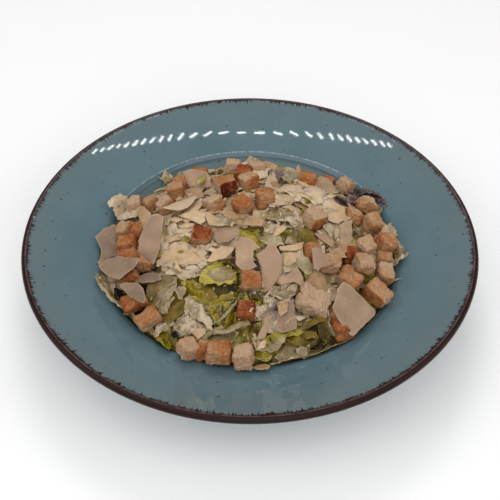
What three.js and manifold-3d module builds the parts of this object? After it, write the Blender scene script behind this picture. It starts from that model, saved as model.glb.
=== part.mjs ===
// Caesar salad on its deep-welled plate: a heap of dressed leaves, croutons and shavings of hard cheese.
// Millimetres, +Z up. The origin is the middle of the plate's foot, on the surface it stands on.
import * as THREE from 'three';
import { ConvexGeometry } from 'three/addons/geometries/ConvexGeometry.js';
import { mergeVertices } from 'three/addons/utils/BufferGeometryUtils.js';
import Module from 'manifold-3d';

// ---------------------------------------------------------------- driving sizes

const PLATE = {
  radius: 140,
  rimTop: 46,
  lipRadius: 2.3,
  wellRadius: 94,
  wellEdge: 29,
  floorRadius: 60,
  floorHeight: 8,
  wall: 4.8,
  footOuter: 60,
  footInner: 52,
  footHeight: 3.2,
  footSlope: 1,
  underBend: 89,
  flangeBend: 24,
  flangeSag: 7.4,
  edgeRound: 2,
  wellBend: 86,
  lipCurl: 112,
  sides: 48,
};

const HEAP = {
  centreX: 1,
  centreY: -5,
  radius: 92,
  nearEdge: 26,
  farEdge: 21,
  top: 50,
  roundness: 2.3,
  coreRadius: 89.5,
  coreBend: 85,
  flangeFrom: 91,
  sideHeight: 19.5,
  lump: 1.1,
  lumpLengths: [65, 49],
  skew: 0.35,
  sides: 36,
  rings: 7,
};

const CROUTON = {
  chamfer: [0.09, 0.17],
  unevenness: 0.16,
  flattest: 0.88,
  tallest: 1.06,
  lean: 10,
  sink: 0.5,
};

const FLAKE = {
  thickness: 1.5,
  lift: 2.5,
  smallest: 0.82,
  unevenness: 0.3,
  squareness: 0.7,
  bendRadius: 50,
  smallSides: 6,
  sides: 8,
  longSides: 10,
  longFrom: 20,
};

const LEAF = {
  thickness: 1.4,
  taper: 0.75,
  sway: 1.5,
  swayRate: 3,
  ripple: 1.2,
  rippleRate: 5,
  rippleSlant: 2,
  dip: 1,
  alongSteps: 4,
  acrossSteps: 2,
};

const GAP = 0.35;
const SETTLE_STEP = 0.5;
const SETTLE_LIMIT = 60;
const SEED = 7;

// Croutons: place (x, y), length, width, and turn about the upright in degrees.
const CROUTONS = [
  [-49, 34, 12, 11, 10],
  [-16, 32, 12.5, 12, 25],
  [-1, 35, 11, 10.5, 35],
  [-12, 59, 11, 10.5, 0],
  [4, 58, 12, 10, 8],
  [-5, 8, 11.5, 11, 38],
  [9, 13, 10.5, 11, 18],
  [-23, 12, 11, 10.5, 42],
  [-29, -18, 11.5, 11, -8],
  [38, 47, 11.5, 11, -15],
  [65, 55, 11.5, 11.5, 38],
  [77, 32, 13, 10.5, 15],
  [66, 14, 9.5, 9.5, 0],
  [78, 11, 11.5, 11, 25],
  [39, 0, 13, 12.5, 42],
  [85, -5, 12.5, 12, 30],
  [71, -15, 11, 10.5, 35],
  [68, -30, 12, 11, 10],
  [81, -31, 9.5, 12, 5],
  [58, -43, 13, 11.5, -30],
  [75, -47, 15, 11.5, -40],
  [48, -34, 10, 10, -5],
  [37, -29, 10, 10, 5],
  [1, -51, 12, 11.5, 5],
  [-2, -68, 10, 11, -5],
  [36, -62, 18, 13.5, -15],
  [-17, -92, 14, 11, 0],
  [-3, -94, 11, 12, -3],
  [-34, -88, 11, 10.5, 30],
  [-58, -67, 14, 9.5, 30],
  [-76, -11, 11.5, 10.5, 0],
  [-73, -23, 12.5, 10.5, 5],
  [-79, 5, 10.5, 10, -30],
  [-76, 31, 10.5, 10.5, 10],
  [-65, 28, 9, 9.5, 30],
  [-54, 18, 11, 10, 30],
  [-72, -38, 11, 10, 20],
  [-67, -55, 14, 10.5, 20],
];

// Shavings of cheese: place (x, y), length, width, turn, and lean along and across, in degrees.
const SHAVINGS = [
  [-60, -14, 35, 14, 92, -14, 8],
  [-91, -2, 21, 12, 74, 0, 0],
  [-78, -34, 26, 18, 4, 0, -8],
  [-60, -44, 18, 8, 10, 0, -10],
  [-67, -53, 18, 14, -25, 0, -4],
  [-42, 14, 23, 10, 15, 0, -6],
  [-37, 50, 17, 15, -10, 0, 35],
  [-14, -19, 16, 15, -15, 0, 8],
  [-2, -33, 25, 16, 80, -8, 0],
  [13, -41, 35, 13.5, 92, -12, 0],
  [25, -48, 15, 12, -10, 0, -10],
  [60, -63, 31, 25, 124, -8, 0],
  [47, -17, 17, 13, -35, 0, -4],
  [56, -8, 19, 10, 84, -10, 0],
  [41, -37, 18, 10, 84, -20, 0],
  [8, -78, 22, 5.5, 60, -6, 0],
  [18, -72, 16, 12, 50, 0, 0],
  [24, 32, 24, 14, 20, 0, 10],
];

// Croutons that lie half buried among the leaves.
const BURIED_CROUTONS = [
  [-35, 62, 10.5, 9, 5],
  [-5, 46, 10, 11, 15],
  [54, 60, 8, 8, 20],
  [-26, -87, 7, 10, 10],
  [-70, 0, 8, 10, 10],
  [-63, -28, 10, 9, 10],
  [61, -23, 9, 9, 0],
  [83, -18, 9, 9, 10],
  [50, -65, 9, 9, 20],
  [53, -72, 11, 10, -20],
  [13, 61, 10, 8, 20],
  [-46, 47, 9, 9, 40],
];

// Large leaves: place (x, y), length, width, turn in degrees, and curl of the edges.
const LEAVES = [
  [-50, -57, 36, 25, 55, 3.5],
  [-20, -47, 30, 24, 10, 5],
  [-16, -70, 30, 22, -35, 3.5],
  [-33, -74, 26, 20, 30, 3.5],
  [-43, -81, 22, 16, -40, 3],
  [12, -90, 30, 12, 6, 3],
  [28, -84, 26, 16, 15, 3.5],
  [42, -76, 28, 18, 30, 5],
  [34, -15, 24, 18, 60, 4],
  [14, -18, 28, 20, 0, 4],
  [-84, -45, 40, 17, 122, 3.5],
  [-86, 33, 22, 15, 55, 3],
  [80, 39, 28, 17, 25, 4],
  [90, -3, 22, 12, 80, 3],
  [50, 24, 32, 22, 20, 3],
  [20, 33, 30, 20, -12, 3.5],
  [-38, 0, 26, 20, 25, 3],
  [-30, 36, 26, 18, 60, 3],
  [24, 66, 28, 16, 5, 3.5],
  [-52, 52, 24, 16, 42, 3],
  [-20, 74, 26, 14, 12, 3],
  [47, 66, 26, 14, -30, 3],
];

const FILLER_LEAVES = { count: 6, spread: 84, length: [20, 28], width: [13, 19], curl: [2, 4] };
const SMALL_FLAKES = { count: 12, spread: 62, length: [9, 16], width: [6, 10], lean: 10, lift: 1.2 };

// ---------------------------------------------------------------- finishes

const FINISHES = {
  glaze: new THREE.MeshStandardMaterial({ color: 0x5f7a85, roughness: 0.25, metalness: 0 }),
  leaves: new THREE.MeshStandardMaterial({ color: 0xb0ad74, roughness: 0.45, metalness: 0 }),
  crumb: new THREE.MeshStandardMaterial({ color: 0xbf8a58, roughness: 0.85, metalness: 0 }),
  cheese: new THREE.MeshStandardMaterial({ color: 0xccb592, roughness: 0.5, metalness: 0 }),
};

// ---------------------------------------------------------------- solids

const library = await Module();
library.setup();

/** Returns a function that draws numbers from 0 to 1, always the same series for one seed. */
function seededDraws(seed) {
  let state = seed >>> 0;
  return () => {
    state = (Math.imul(state, 1664525) + 1013904223) >>> 0;
    return state / 2 ** 32;
  };
}

/** A drawn number between two limits. */
function between(draw, [low, high]) {
  return THREE.MathUtils.lerp(low, high, draw());
}

/** Joins a geometry's shared corners and drops the triangles that this closes up. */
function closed(geometry) {
  const bare = geometry.clone();
  bare.deleteAttribute('normal');
  bare.deleteAttribute('uv');
  const merged = mergeVertices(bare, 1e-4);
  const corners = Array.from(merged.index.array);
  const kept = [];
  for (let i = 0; i < corners.length; i += 3) {
    const [a, b, c] = corners.slice(i, i + 3);
    if (a !== b && b !== c && c !== a) {
      kept.push(a, b, c);
    }
  }
  merged.setIndex(kept);
  return merged;
}

/** Turns a closed geometry into a solid that can be joined and cut. */
function toSolid(geometry) {
  const shell = closed(geometry);
  return new library.Manifold(new library.Mesh({
    numProp: 3,
    vertProperties: new Float32Array(shell.attributes.position.array),
    triVerts: new Uint32Array(shell.index.array),
  }));
}

/** Turns a solid back into a geometry. */
function toGeometry(solid) {
  const mesh = solid.getMesh();
  const geometry = new THREE.BufferGeometry();
  geometry.setAttribute('position', new THREE.BufferAttribute(mesh.vertProperties, 3));
  geometry.setIndex(new THREE.BufferAttribute(mesh.triVerts, 1));
  geometry.computeVertexNormals();
  return geometry;
}

/** The same geometry moved by a matrix. */
function moved(geometry, matrix) {
  return geometry.clone().applyMatrix4(matrix);
}

// ---------------------------------------------------------------- plate

/** Half section of the plate, from the middle of its underside round the rim to the middle of its well. */
function plateSection() {
  const { radius, rimTop, lipRadius, wellRadius, wellEdge, floorRadius, floorHeight, wall } = PLATE;
  const { footInner, footOuter, footHeight, footSlope, edgeRound, flangeBend, flangeSag } = PLATE;
  const lipX = radius - lipRadius;
  const lipZ = rimTop - lipRadius;
  const section = new THREE.Path();
  section.moveTo(0, footHeight);
  section.lineTo(footInner - footSlope, footHeight);
  section.lineTo(footInner, 0);
  section.lineTo(footOuter, 0);
  section.lineTo(footOuter + footSlope, footHeight);
  section.quadraticCurveTo(PLATE.underBend, footHeight, wellRadius + edgeRound, wellEdge - wall);
  section.lineTo(lipX, lipZ - lipRadius);
  section.absarc(lipX, lipZ, lipRadius, -Math.PI / 2, THREE.MathUtils.degToRad(PLATE.lipCurl), false);
  section.quadraticCurveTo(
    wellRadius + flangeBend, wellEdge + flangeSag, wellRadius + edgeRound, wellEdge,
  );
  section.quadraticCurveTo(wellRadius, wellEdge - edgeRound / 2, wellRadius - 1, wellEdge - edgeRound);
  section.quadraticCurveTo(PLATE.wellBend, floorHeight, floorRadius, floorHeight);
  section.lineTo(0, floorHeight);
  return section.getPoints(3);
}

/** A shape of revolution about the upright. */
function turned(points, sides) {
  return new THREE.LatheGeometry(points, sides).rotateX(Math.PI / 2);
}

/** Height of the plate's flange at a distance from the middle. */
function flangeHeight(distance) {
  const share = (distance - PLATE.wellRadius) / (PLATE.radius - PLATE.wellRadius);
  return PLATE.wellEdge + (PLATE.rimTop - PLATE.wellEdge) * THREE.MathUtils.clamp(share, 0, 1);
}

// ---------------------------------------------------------------- heap

/** Height of the heap's bare core. */
function heapHeight(x, y) {
  const share = Math.min(Math.hypot(x - HEAP.centreX, y - HEAP.centreY) / HEAP.radius, 1);
  const [firstLength, secondLength] = HEAP.lumpLengths;
  const wave = Math.sin(2 * Math.PI * (x + HEAP.skew * y) / firstLength)
    + Math.sin(2 * Math.PI * (y - HEAP.skew * x) / secondLength);
  const farness = THREE.MathUtils.smoothstep(y, -HEAP.radius / 2, HEAP.radius);
  const edge = THREE.MathUtils.lerp(HEAP.nearEdge, HEAP.farEdge, farness);
  return edge + (HEAP.top + HEAP.lump * wave - edge) * (1 - share ** HEAP.roundness);
}

/** Height that a thing lies at: on the heap, or on the flange beyond it. */
function restHeight(x, y) {
  const distance = Math.hypot(x, y);
  const onFlange = distance > HEAP.flangeFrom ? flangeHeight(distance) + 2 * GAP : 0;
  return Math.max(heapHeight(x, y), onFlange);
}

/** Turn that lays a thing's own upright square to the heap at a place. */
function slopeAt(x, y) {
  const reach = 5;
  const across = restHeight(x + reach, y) - restHeight(x - reach, y);
  const along = restHeight(x, y + reach) - restHeight(x, y - reach);
  const upright = new THREE.Vector3(-across, -along, 2 * reach).normalize();
  return new THREE.Quaternion().setFromUnitVectors(new THREE.Vector3(0, 0, 1), upright);
}

/** The heap's core: it fills the well and is rounded over the top. */
function coreGeometry() {
  const floor = PLATE.floorHeight + GAP;
  const section = new THREE.Path();
  section.moveTo(0, floor);
  section.lineTo(PLATE.floorRadius, floor);
  section.quadraticCurveTo(HEAP.coreBend, floor, HEAP.coreRadius, HEAP.sideHeight);
  const points = section.getPoints(3);
  for (let ring = HEAP.rings; ring >= 0; ring -= 1) {
    points.push(new THREE.Vector2(HEAP.coreRadius * ring / HEAP.rings, HEAP.top));
  }
  const geometry = turned(points, HEAP.sides);
  const place = geometry.attributes.position;
  for (let i = 0; i < place.count; i += 1) {
    if (place.getZ(i) > HEAP.sideHeight + GAP) {
      place.setZ(i, heapHeight(place.getX(i), place.getY(i)));
    }
  }
  return geometry;
}

// ---------------------------------------------------------------- toppings

/**
 * A topping of a list's row. Its shape is drawn twice from one seed, once at its own size and once with the
 * gap round it that its neighbours keep.
 */
function makeTopping(name, finish, seed, shape) {
  const mesh = new THREE.Mesh(shape(seededDraws(seed), 0), finish);
  mesh.name = name;
  mesh.userData.room = shape(seededDraws(seed), GAP);
  return mesh;
}

/** Lays a mesh at a place on the heap: square to the slope, leant along and across itself, and turned. */
function layDown(mesh, [x, y], lift, turn, leanAlong, leanAcross) {
  const angles = [leanAcross, leanAlong, turn].map(THREE.MathUtils.degToRad);
  mesh.quaternion.copy(slopeAt(x, y)).multiply(
    new THREE.Quaternion().setFromEuler(new THREE.Euler(...angles, 'ZYX')),
  );
  mesh.position.set(x, y, restHeight(x, y) + lift);
  mesh.updateMatrix();
}

/** A bread cube with uneven corners, its edges cut off. grow moves every side outwards. */
function croutonGeometry(sizes, draw, grow) {
  const corners = [];
  for (let corner = 0; corner < 8; corner += 1) {
    const place = sizes.map((size, axis) => {
      const side = (corner >> axis) & 1 ? 0.5 : -0.5;
      return side * (size * (1 - CROUTON.unevenness * draw()) + 2 * grow);
    });
    corners.push(new THREE.Vector3(...place));
  }
  const points = [];
  corners.forEach((place, corner) => {
    for (let axis = 0; axis < 3; axis += 1) {
      const neighbour = corners[corner ^ (1 << axis)];
      points.push(place.clone().lerp(neighbour, between(draw, CROUTON.chamfer)));
    }
  });
  return new ConvexGeometry(points);
}

/** The crouton of one row of a list, standing on the heap. */
function makeCrouton(row, name, seed) {
  const [, , length, width, turn] = row;
  const draw = seededDraws(seed);
  const height = width * between(draw, [CROUTON.flattest, CROUTON.tallest]);
  const mesh = makeTopping(name, FINISHES.crumb, seed, (draws, grow) => (
    croutonGeometry([length, width, height], draws, grow)
  ));
  const leans = [0, 0].map(() => between(draw, [-CROUTON.lean, CROUTON.lean]));
  layDown(mesh, row, height / 2 - CROUTON.sink, turn, ...leans);
  return mesh;
}

/**
 * A closed sheet: a flat surface whose corners are carried to a lower and an upper place, both split alike,
 * with a wall round its edge.
 */
function sheetGeometry(surface, lower, upper) {
  const flat = closed(surface);
  const place = flat.attributes.position;
  const count = place.count;
  const positions = [];
  for (const carry of [lower, upper]) {
    for (let i = 0; i < count; i += 1) {
      positions.push(...carry(new THREE.Vector3().fromBufferAttribute(place, i)).toArray());
    }
  }
  const corners = Array.from(flat.index.array);
  const faces = [];
  const edges = new Set();
  for (let i = 0; i < corners.length; i += 3) {
    const [a, b, c] = corners.slice(i, i + 3);
    faces.push(a, c, b, a + count, b + count, c + count);
    [[a, b], [b, c], [c, a]].forEach(([from, to]) => edges.add(`${from} ${to}`));
  }
  for (const edge of edges) {
    const [from, to] = edge.split(' ').map(Number);
    if (!edges.has(`${to} ${from}`)) {
      faces.push(from, to, to + count, from, to + count, from + count);
    }
  }
  const sheet = new THREE.BufferGeometry();
  sheet.setAttribute('position', new THREE.Float32BufferAttribute(positions, 3));
  sheet.setIndex(faces);
  return sheet;
}

/** A slightly bent flake of cheese with an uneven outline. grow makes it thicker and wider. */
function flakeGeometry(length, width, sides, draw, grow) {
  const reaches = Array.from({ length: sides }, () => FLAKE.smallest + FLAKE.unevenness * draw());
  const carry = (height) => (corner) => {
    const isMiddle = corner.length() < 0.5;
    if (isMiddle) {
      return new THREE.Vector3(0, 0, height);
    }
    const angle = Math.atan2(corner.y, corner.x) + 2 * Math.PI;
    const side = Math.round(angle / (2 * Math.PI) * sides) % sides;
    const cosine = Math.cos(angle);
    const sine = Math.sin(angle);
    const reach = reaches[side] / Math.max(Math.abs(cosine), Math.abs(sine)) ** FLAKE.squareness;
    const x = reach * cosine * (length / 2 + grow);
    const y = reach * sine * (width / 2 + grow);
    return new THREE.Vector3(x, y, x * x / (2 * FLAKE.bendRadius) + height);
  };
  const half = FLAKE.thickness / 2 + grow;
  return sheetGeometry(new THREE.CircleGeometry(1, sides), carry(-half), carry(half));
}

/** The shaving of one row of the list. */
function makeShaving(row, name, seed) {
  const [, , length, width, turn, leanAlong, leanAcross] = row;
  const sides = length > FLAKE.longFrom ? FLAKE.longSides : FLAKE.sides;
  const mesh = makeTopping(name, FINISHES.cheese, seed, (draws, grow) => (
    flakeGeometry(length, width, sides, draws, grow)
  ));
  layDown(mesh, row, FLAKE.lift, turn, leanAlong, leanAcross);
  return mesh;
}

/** The room that a topping takes where it now is, as a solid. */
function roomOf(topping) {
  topping.updateMatrix();
  return toSolid(moved(topping.userData.room, topping.matrix));
}

/** Raises a topping until it is clear of what is already there. */
function settle(topping, taken) {
  for (let step = 0; step < SETTLE_LIMIT; step += 1) {
    if (roomOf(topping).intersect(taken).isEmpty()) {
      return;
    }
    topping.position.z += SETTLE_STEP;
  }
  throw new Error(`${topping.name} finds no place`);
}

// ---------------------------------------------------------------- fused pieces

/** A wavy leaf draped over the heap: its edges curl up, and its ripples dip into the core. */
function leafGeometry([x, y, length, width, turn, curl], draw) {
  const surface = new THREE.PlaneGeometry(2, 2, LEAF.alongSteps, LEAF.acrossSteps);
  const centre = new THREE.Vector2();
  const angle = THREE.MathUtils.degToRad(turn);
  const phase = 2 * Math.PI * draw();
  const drape = (offset) => ({ x: along, y: across }) => {
    const taper = Math.sqrt(1 - LEAF.taper * along * along);
    const sway = LEAF.sway * Math.sin(LEAF.swayRate * along + phase);
    const place = new THREE.Vector2(x + along * length / 2, y + across * taper * width / 2 + sway);
    place.rotateAround(centre.set(x, y), angle);
    const wave = Math.sin(LEAF.rippleRate * along + LEAF.rippleSlant * across + phase);
    const ripple = LEAF.ripple * wave + curl * across * across - LEAF.dip;
    const lift = place.length() > HEAP.flangeFrom ? Math.abs(ripple) : ripple;
    return new THREE.Vector3(place.x, place.y, restHeight(place.x, place.y) + lift + offset);
  };
  return sheetGeometry(surface, drape(0), drape(LEAF.thickness));
}

/** Places spread evenly over the heap, from its middle outwards. */
function evenPlaces(count, spread) {
  const goldenAngle = Math.PI * (3 - Math.sqrt(5));
  return Array.from({ length: count }, (_, i) => {
    const distance = spread * Math.sqrt((i + 0.5) / count);
    return [
      HEAP.centreX + distance * Math.cos(i * goldenAngle),
      HEAP.centreY + distance * Math.sin(i * goldenAngle),
    ];
  });
}

/** Rows for the leaves that fill in between the large ones. */
function fillerLeaves(draw) {
  const { count, spread, length, width, curl } = FILLER_LEAVES;
  return evenPlaces(count, spread).map(([x, y]) => (
    [x, y, between(draw, length), between(draw, width), 360 * draw(), between(draw, curl)]
  ));
}

/** Small flakes of cheese strewn over the leaves. */
function smallFlakes(draw) {
  const { count, spread, length, width, lean, lift } = SMALL_FLAKES;
  return evenPlaces(count, spread).map((place) => {
    const shape = flakeGeometry(between(draw, length), between(draw, width), FLAKE.smallSides, draw, 0);
    const mesh = new THREE.Mesh(shape);
    const leans = [0, 0].map(() => between(draw, [-lean, lean]));
    layDown(mesh, place, lift, 360 * draw(), ...leans);
    return moved(mesh.geometry, mesh.matrix);
  });
}

/** Everything that is fused to the heap's core. */
function fusedPieces(draw) {
  const leaves = [...LEAVES, ...fillerLeaves(draw)].map((row) => leafGeometry(row, draw));
  const croutons = BURIED_CROUTONS.map((row, i) => {
    const mesh = makeCrouton(row, 'buried', SEED + i);
    return moved(mesh.geometry, mesh.matrix);
  });
  return [...leaves, ...croutons, ...smallFlakes(draw)];
}

/** The largest single body of a solid, without loose scraps or sealed hollows. */
function largestBody(solid) {
  return solid.decompose().reduce((best, piece) => (piece.volume() > best.volume() ? piece : best));
}

// ---------------------------------------------------------------- the salad

const numbered = (kind, i) => `${kind}_${String(i + 1).padStart(2, '0')}`;

const plate = new THREE.Mesh(toGeometry(toSolid(turned(plateSection(), PLATE.sides))), FINISHES.glaze);
plate.name = 'plate';

const narrowing = 1 - GAP / PLATE.wellRadius;
const plateRoom = new THREE.Matrix4()
  .makeTranslation(0, 0, GAP)
  .multiply(new THREE.Matrix4().makeScale(narrowing, narrowing, 1));
const plateAndGap = toSolid(moved(plate.geometry, plateRoom));
const core = toSolid(coreGeometry());

const toppings = new THREE.Group();
CROUTONS.forEach((row, i) => toppings.add(makeCrouton(row, numbered('crouton', i), SEED * (i + 1))));
SHAVINGS.forEach((row, i) => toppings.add(makeShaving(row, numbered('parmesan', i), SEED + i)));
let taken = plateAndGap.add(core);
for (const topping of toppings.children) {
  settle(topping, taken);
  taken = taken.add(roomOf(topping));
}

let heap = core;
for (const piece of fusedPieces(seededDraws(SEED))) {
  heap = heap.add(toSolid(piece));
}
heap = heap.subtract(plateAndGap);
for (const topping of toppings.children) {
  heap = heap.subtract(roomOf(topping));
}
const leaves = new THREE.Mesh(toGeometry(largestBody(heap)), FINISHES.leaves);
leaves.name = 'salad';

const caesarSalad = new THREE.Group();
caesarSalad.add(plate, leaves, toppings);

export default caesarSalad;
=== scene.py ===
"""Caesar salad in the well of a wide-rimmed plate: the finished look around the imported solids.

Metres, +Z up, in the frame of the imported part. Outlines of the pieces that lie in sight are given in the
camera's own frame of 500 by 500, and carried from there onto the heap or the solid that they stand for.
"""

import logging
import math
import random
from collections import defaultdict
from dataclasses import dataclass, field
from enum import Enum
from typing import Callable, Sequence

import bpy
import numpy as np
from mathutils import Matrix, Vector, noise
from mathutils.bvhtree import BVHTree
from mathutils.geometry import delaunay_2d_cdt


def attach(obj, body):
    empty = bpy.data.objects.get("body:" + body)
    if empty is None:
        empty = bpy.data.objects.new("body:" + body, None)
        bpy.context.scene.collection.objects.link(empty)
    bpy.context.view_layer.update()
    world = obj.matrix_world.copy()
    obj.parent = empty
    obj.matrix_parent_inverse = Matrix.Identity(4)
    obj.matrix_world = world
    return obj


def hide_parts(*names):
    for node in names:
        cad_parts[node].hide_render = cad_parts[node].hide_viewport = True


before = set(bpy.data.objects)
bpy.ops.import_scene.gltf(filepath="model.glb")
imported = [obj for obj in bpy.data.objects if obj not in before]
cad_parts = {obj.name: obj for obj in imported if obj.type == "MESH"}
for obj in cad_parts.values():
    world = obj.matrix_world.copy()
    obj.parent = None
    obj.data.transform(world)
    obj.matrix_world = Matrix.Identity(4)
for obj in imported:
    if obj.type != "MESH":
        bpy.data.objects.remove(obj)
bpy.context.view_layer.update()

LOG = logging.getLogger("caesar_salad")
MM = 0.001
BODY = "root"
SEED = 7
FIBRES = 40.0
Colour = tuple[float, float, float, float]
Point = tuple[float, float]
Place = tuple[float, float, float]


def mm(*lengths: float) -> tuple[float, ...]:
    """Lengths in metres, given in millimetres."""
    return tuple(length * MM for length in lengths)


# --- colours


def srgb(red: int, green: int, blue: int) -> Colour:
    """A colour as the eye names it, made linear for the shaders.

    Args:
        red: Red from 0 to 255.
        green: Green from 0 to 255.
        blue: Blue from 0 to 255.

    Returns:
        The linear colour with full alpha.
    """
    def linear(value: int) -> float:
        """One channel made linear."""
        share = value / 255
        return share / 12.92 if share <= 0.04045 else ((share + 0.055) / 1.055) ** 2.4

    return (linear(red), linear(green), linear(blue), 1.0)


# --- shader maths


def arithmetic(operation: str) -> Callable[["Value", "Value | float"], "Value"]:
    """A method of Value that leads it and another value through a Math node.

    Args:
        operation: What the node does.

    Returns:
        The method.
    """
    def method(self: "Value", other: "Value | float") -> "Value":
        """What the node makes of the two."""
        return self.graph.node("ShaderNodeMath", {"operation": operation}, {0: self, 1: other})

    return method


class Value:
    """A socket of a node tree that arithmetic can be done with. A comparison gives 1 or 0."""

    __add__ = __radd__ = arithmetic("ADD")
    __sub__ = arithmetic("SUBTRACT")
    __mul__ = arithmetic("MULTIPLY")
    __truediv__ = arithmetic("DIVIDE")
    __gt__ = arithmetic("GREATER_THAN")
    __lt__ = arithmetic("LESS_THAN")
    at_most = arithmetic("MINIMUM")
    at_least = arithmetic("MAXIMUM")

    def __init__(self, graph: "Graph", socket: bpy.types.NodeSocket) -> None:
        """Keeps the tree and the socket."""
        self.graph = graph
        self.socket = socket

    def __rsub__(self, other: float) -> "Value":
        """Difference from a number."""
        return self.graph.node("ShaderNodeMath", {"operation": "SUBTRACT"}, {0: other, 1: self})

    def between(self, low: float, high: float) -> "Value":
        """0 below one value, 1 above another and a smooth step in between.

        Args:
            low: Where the step starts.
            high: Where the step ends. It may lie below low, which turns the step round.

        Returns:
            The step.
        """
        settings = {"interpolation_type": "SMOOTHSTEP"}
        inputs = {"Value": self, "From Min": low, "From Max": high, "To Min": 0.0, "To Max": 1.0}
        if low > high:
            inputs.update({"From Min": high, "From Max": low, "To Min": 1.0, "To Max": 0.0})
        return self.graph.node("ShaderNodeMapRange", settings, inputs)


class Graph:
    """The node tree of one material."""

    def __init__(self, name: str) -> None:
        """Starts a material with nothing but its output.

        Args:
            name: The material's name.
        """
        self.material = bpy.data.materials.new(name)
        self.material.use_nodes = True
        self.tree = self.material.node_tree
        self.tree.nodes.clear()
        self.output = self.tree.nodes.new("ShaderNodeOutputMaterial")

    def node(self, kind: str, settings: dict | None = None, sockets: dict | None = None,
             output: int | str = 0) -> Value:
        """Adds a node.

        Args:
            kind: The node's type.
            settings: Its own settings; "stops" gives a ramp's places and colours.
            sockets: Values or links of its inputs, by name or number.
            output: Name or number of the output to go on with.

        Returns:
            That output.
        """
        made = self.tree.nodes.new(kind)
        for name, value in (settings or {}).items():
            if name == "stops":
                self._set_stops(made.color_ramp, value)
            else:
                setattr(made, name, value)
        for name, value in (sockets or {}).items():
            if isinstance(value, Value):
                self.tree.links.new(value.socket, made.inputs[name])
            else:
                made.inputs[name].default_value = value
        return Value(self, made.outputs[output])

    @staticmethod
    def _set_stops(ramp: bpy.types.ColorRamp, stops: Sequence[tuple[float, Colour]]) -> None:
        """Sets a ramp's stops.

        Args:
            ramp: The ramp.
            stops: Its places from 0 to 1, each with its colour.
        """
        while len(ramp.elements) < len(stops):
            ramp.elements.new(1.0)
        for element, (place, colour) in zip(ramp.elements, stops):
            element.position = place
            element.color = colour

    def position(self) -> Value:
        """Where a point lies on the object, in metres."""
        return self.node("ShaderNodeTexCoord", output="Object")

    def attribute(self, name: str) -> Value:
        """A number that the mesh carries at its corners."""
        return self.node("ShaderNodeAttribute", {"attribute_name": name}, output="Fac")

    def axes(self, vector: Value) -> tuple[Value, Value, Value]:
        """The three numbers of a vector."""
        split = self.node("ShaderNodeSeparateXYZ", sockets={0: vector}).socket.node
        return tuple(Value(self, split.outputs[i]) for i in range(3))

    def vector(self, x: Value | float, y: Value | float, z: Value | float) -> Value:
        """A vector of three numbers."""
        return self.node("ShaderNodeCombineXYZ", sockets={0: x, 1: y, 2: z})

    def noise(self, size: float, detail: float = 3.0, roughness: float = 0.5,
              vector: Value | None = None) -> Value:
        """Cloudy noise from 0 to 1.

        Args:
            size: Length of its lumps, in metres.
            detail: Number of finer layers.
            roughness: How strong the finer layers are.
            vector: Where it is read, or None for the object's own place.

        Returns:
            The noise.
        """
        where = vector or self.position()
        sockets = {"Vector": where, "Scale": 1 / size, "Detail": detail, "Roughness": roughness}
        return self.node("ShaderNodeTexNoise", sockets=sockets)

    def cells(self, size: float, output: str = "Distance", feature: str = "F1", flat: bool = False) -> Value:
        """Cells scattered at random.

        Args:
            size: Their usual size, in metres.
            output: Which of the texture's outputs to give.
            feature: Which distance it measures.
            flat: Whether the cells lie in plan, whatever the height.

        Returns:
            That output.
        """
        settings = {"feature": feature, "voronoi_dimensions": "2D" if flat else "3D"}
        sockets = {"Vector": self.position(), "Scale": 1 / size}
        return self.node("ShaderNodeTexVoronoi", settings, sockets, output)

    def mix(self, share: Value | float, first: Value | Colour, second: Value | Colour) -> Value:
        """A mix of two colours: the first where share is 0, the second where it is 1."""
        return self.node("ShaderNodeMix", {"data_type": "RGBA"}, {0: share, 6: first, 7: second}, 2)

    def ramp(self, share: Value, stops: Sequence[tuple[float, Colour]]) -> Value:
        """A colour read from a ramp of stops."""
        return self.node("ShaderNodeValToRGB", {"stops": stops}, {0: share})

    def bump(self, height: Value, depth: float) -> Value:
        """The normal bent by a relief of some depth, whose height runs from 0 to 1."""
        sockets = {"Height": height, "Distance": depth}
        return self.node("ShaderNodeBump", sockets=sockets, output="Normal")

    def surface(self, **sockets: Value | float | Colour) -> Value:
        """A Principled shader, its inputs named with underscores for spaces."""
        inputs = {name.replace("_", " "): value for name, value in sockets.items()}
        return self.node("ShaderNodeBsdfPrincipled", sockets=inputs)

    def close(self, surface: Value) -> bpy.types.Material:
        """The finished material, which shows a surface."""
        self.tree.links.new(surface.socket, self.output.inputs["Surface"])
        return self.material

    def finish(self, **sockets: Value | float | Colour) -> bpy.types.Material:
        """The finished material, with one Principled shader."""
        return self.close(self.surface(**sockets))


# --- finishes


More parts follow.
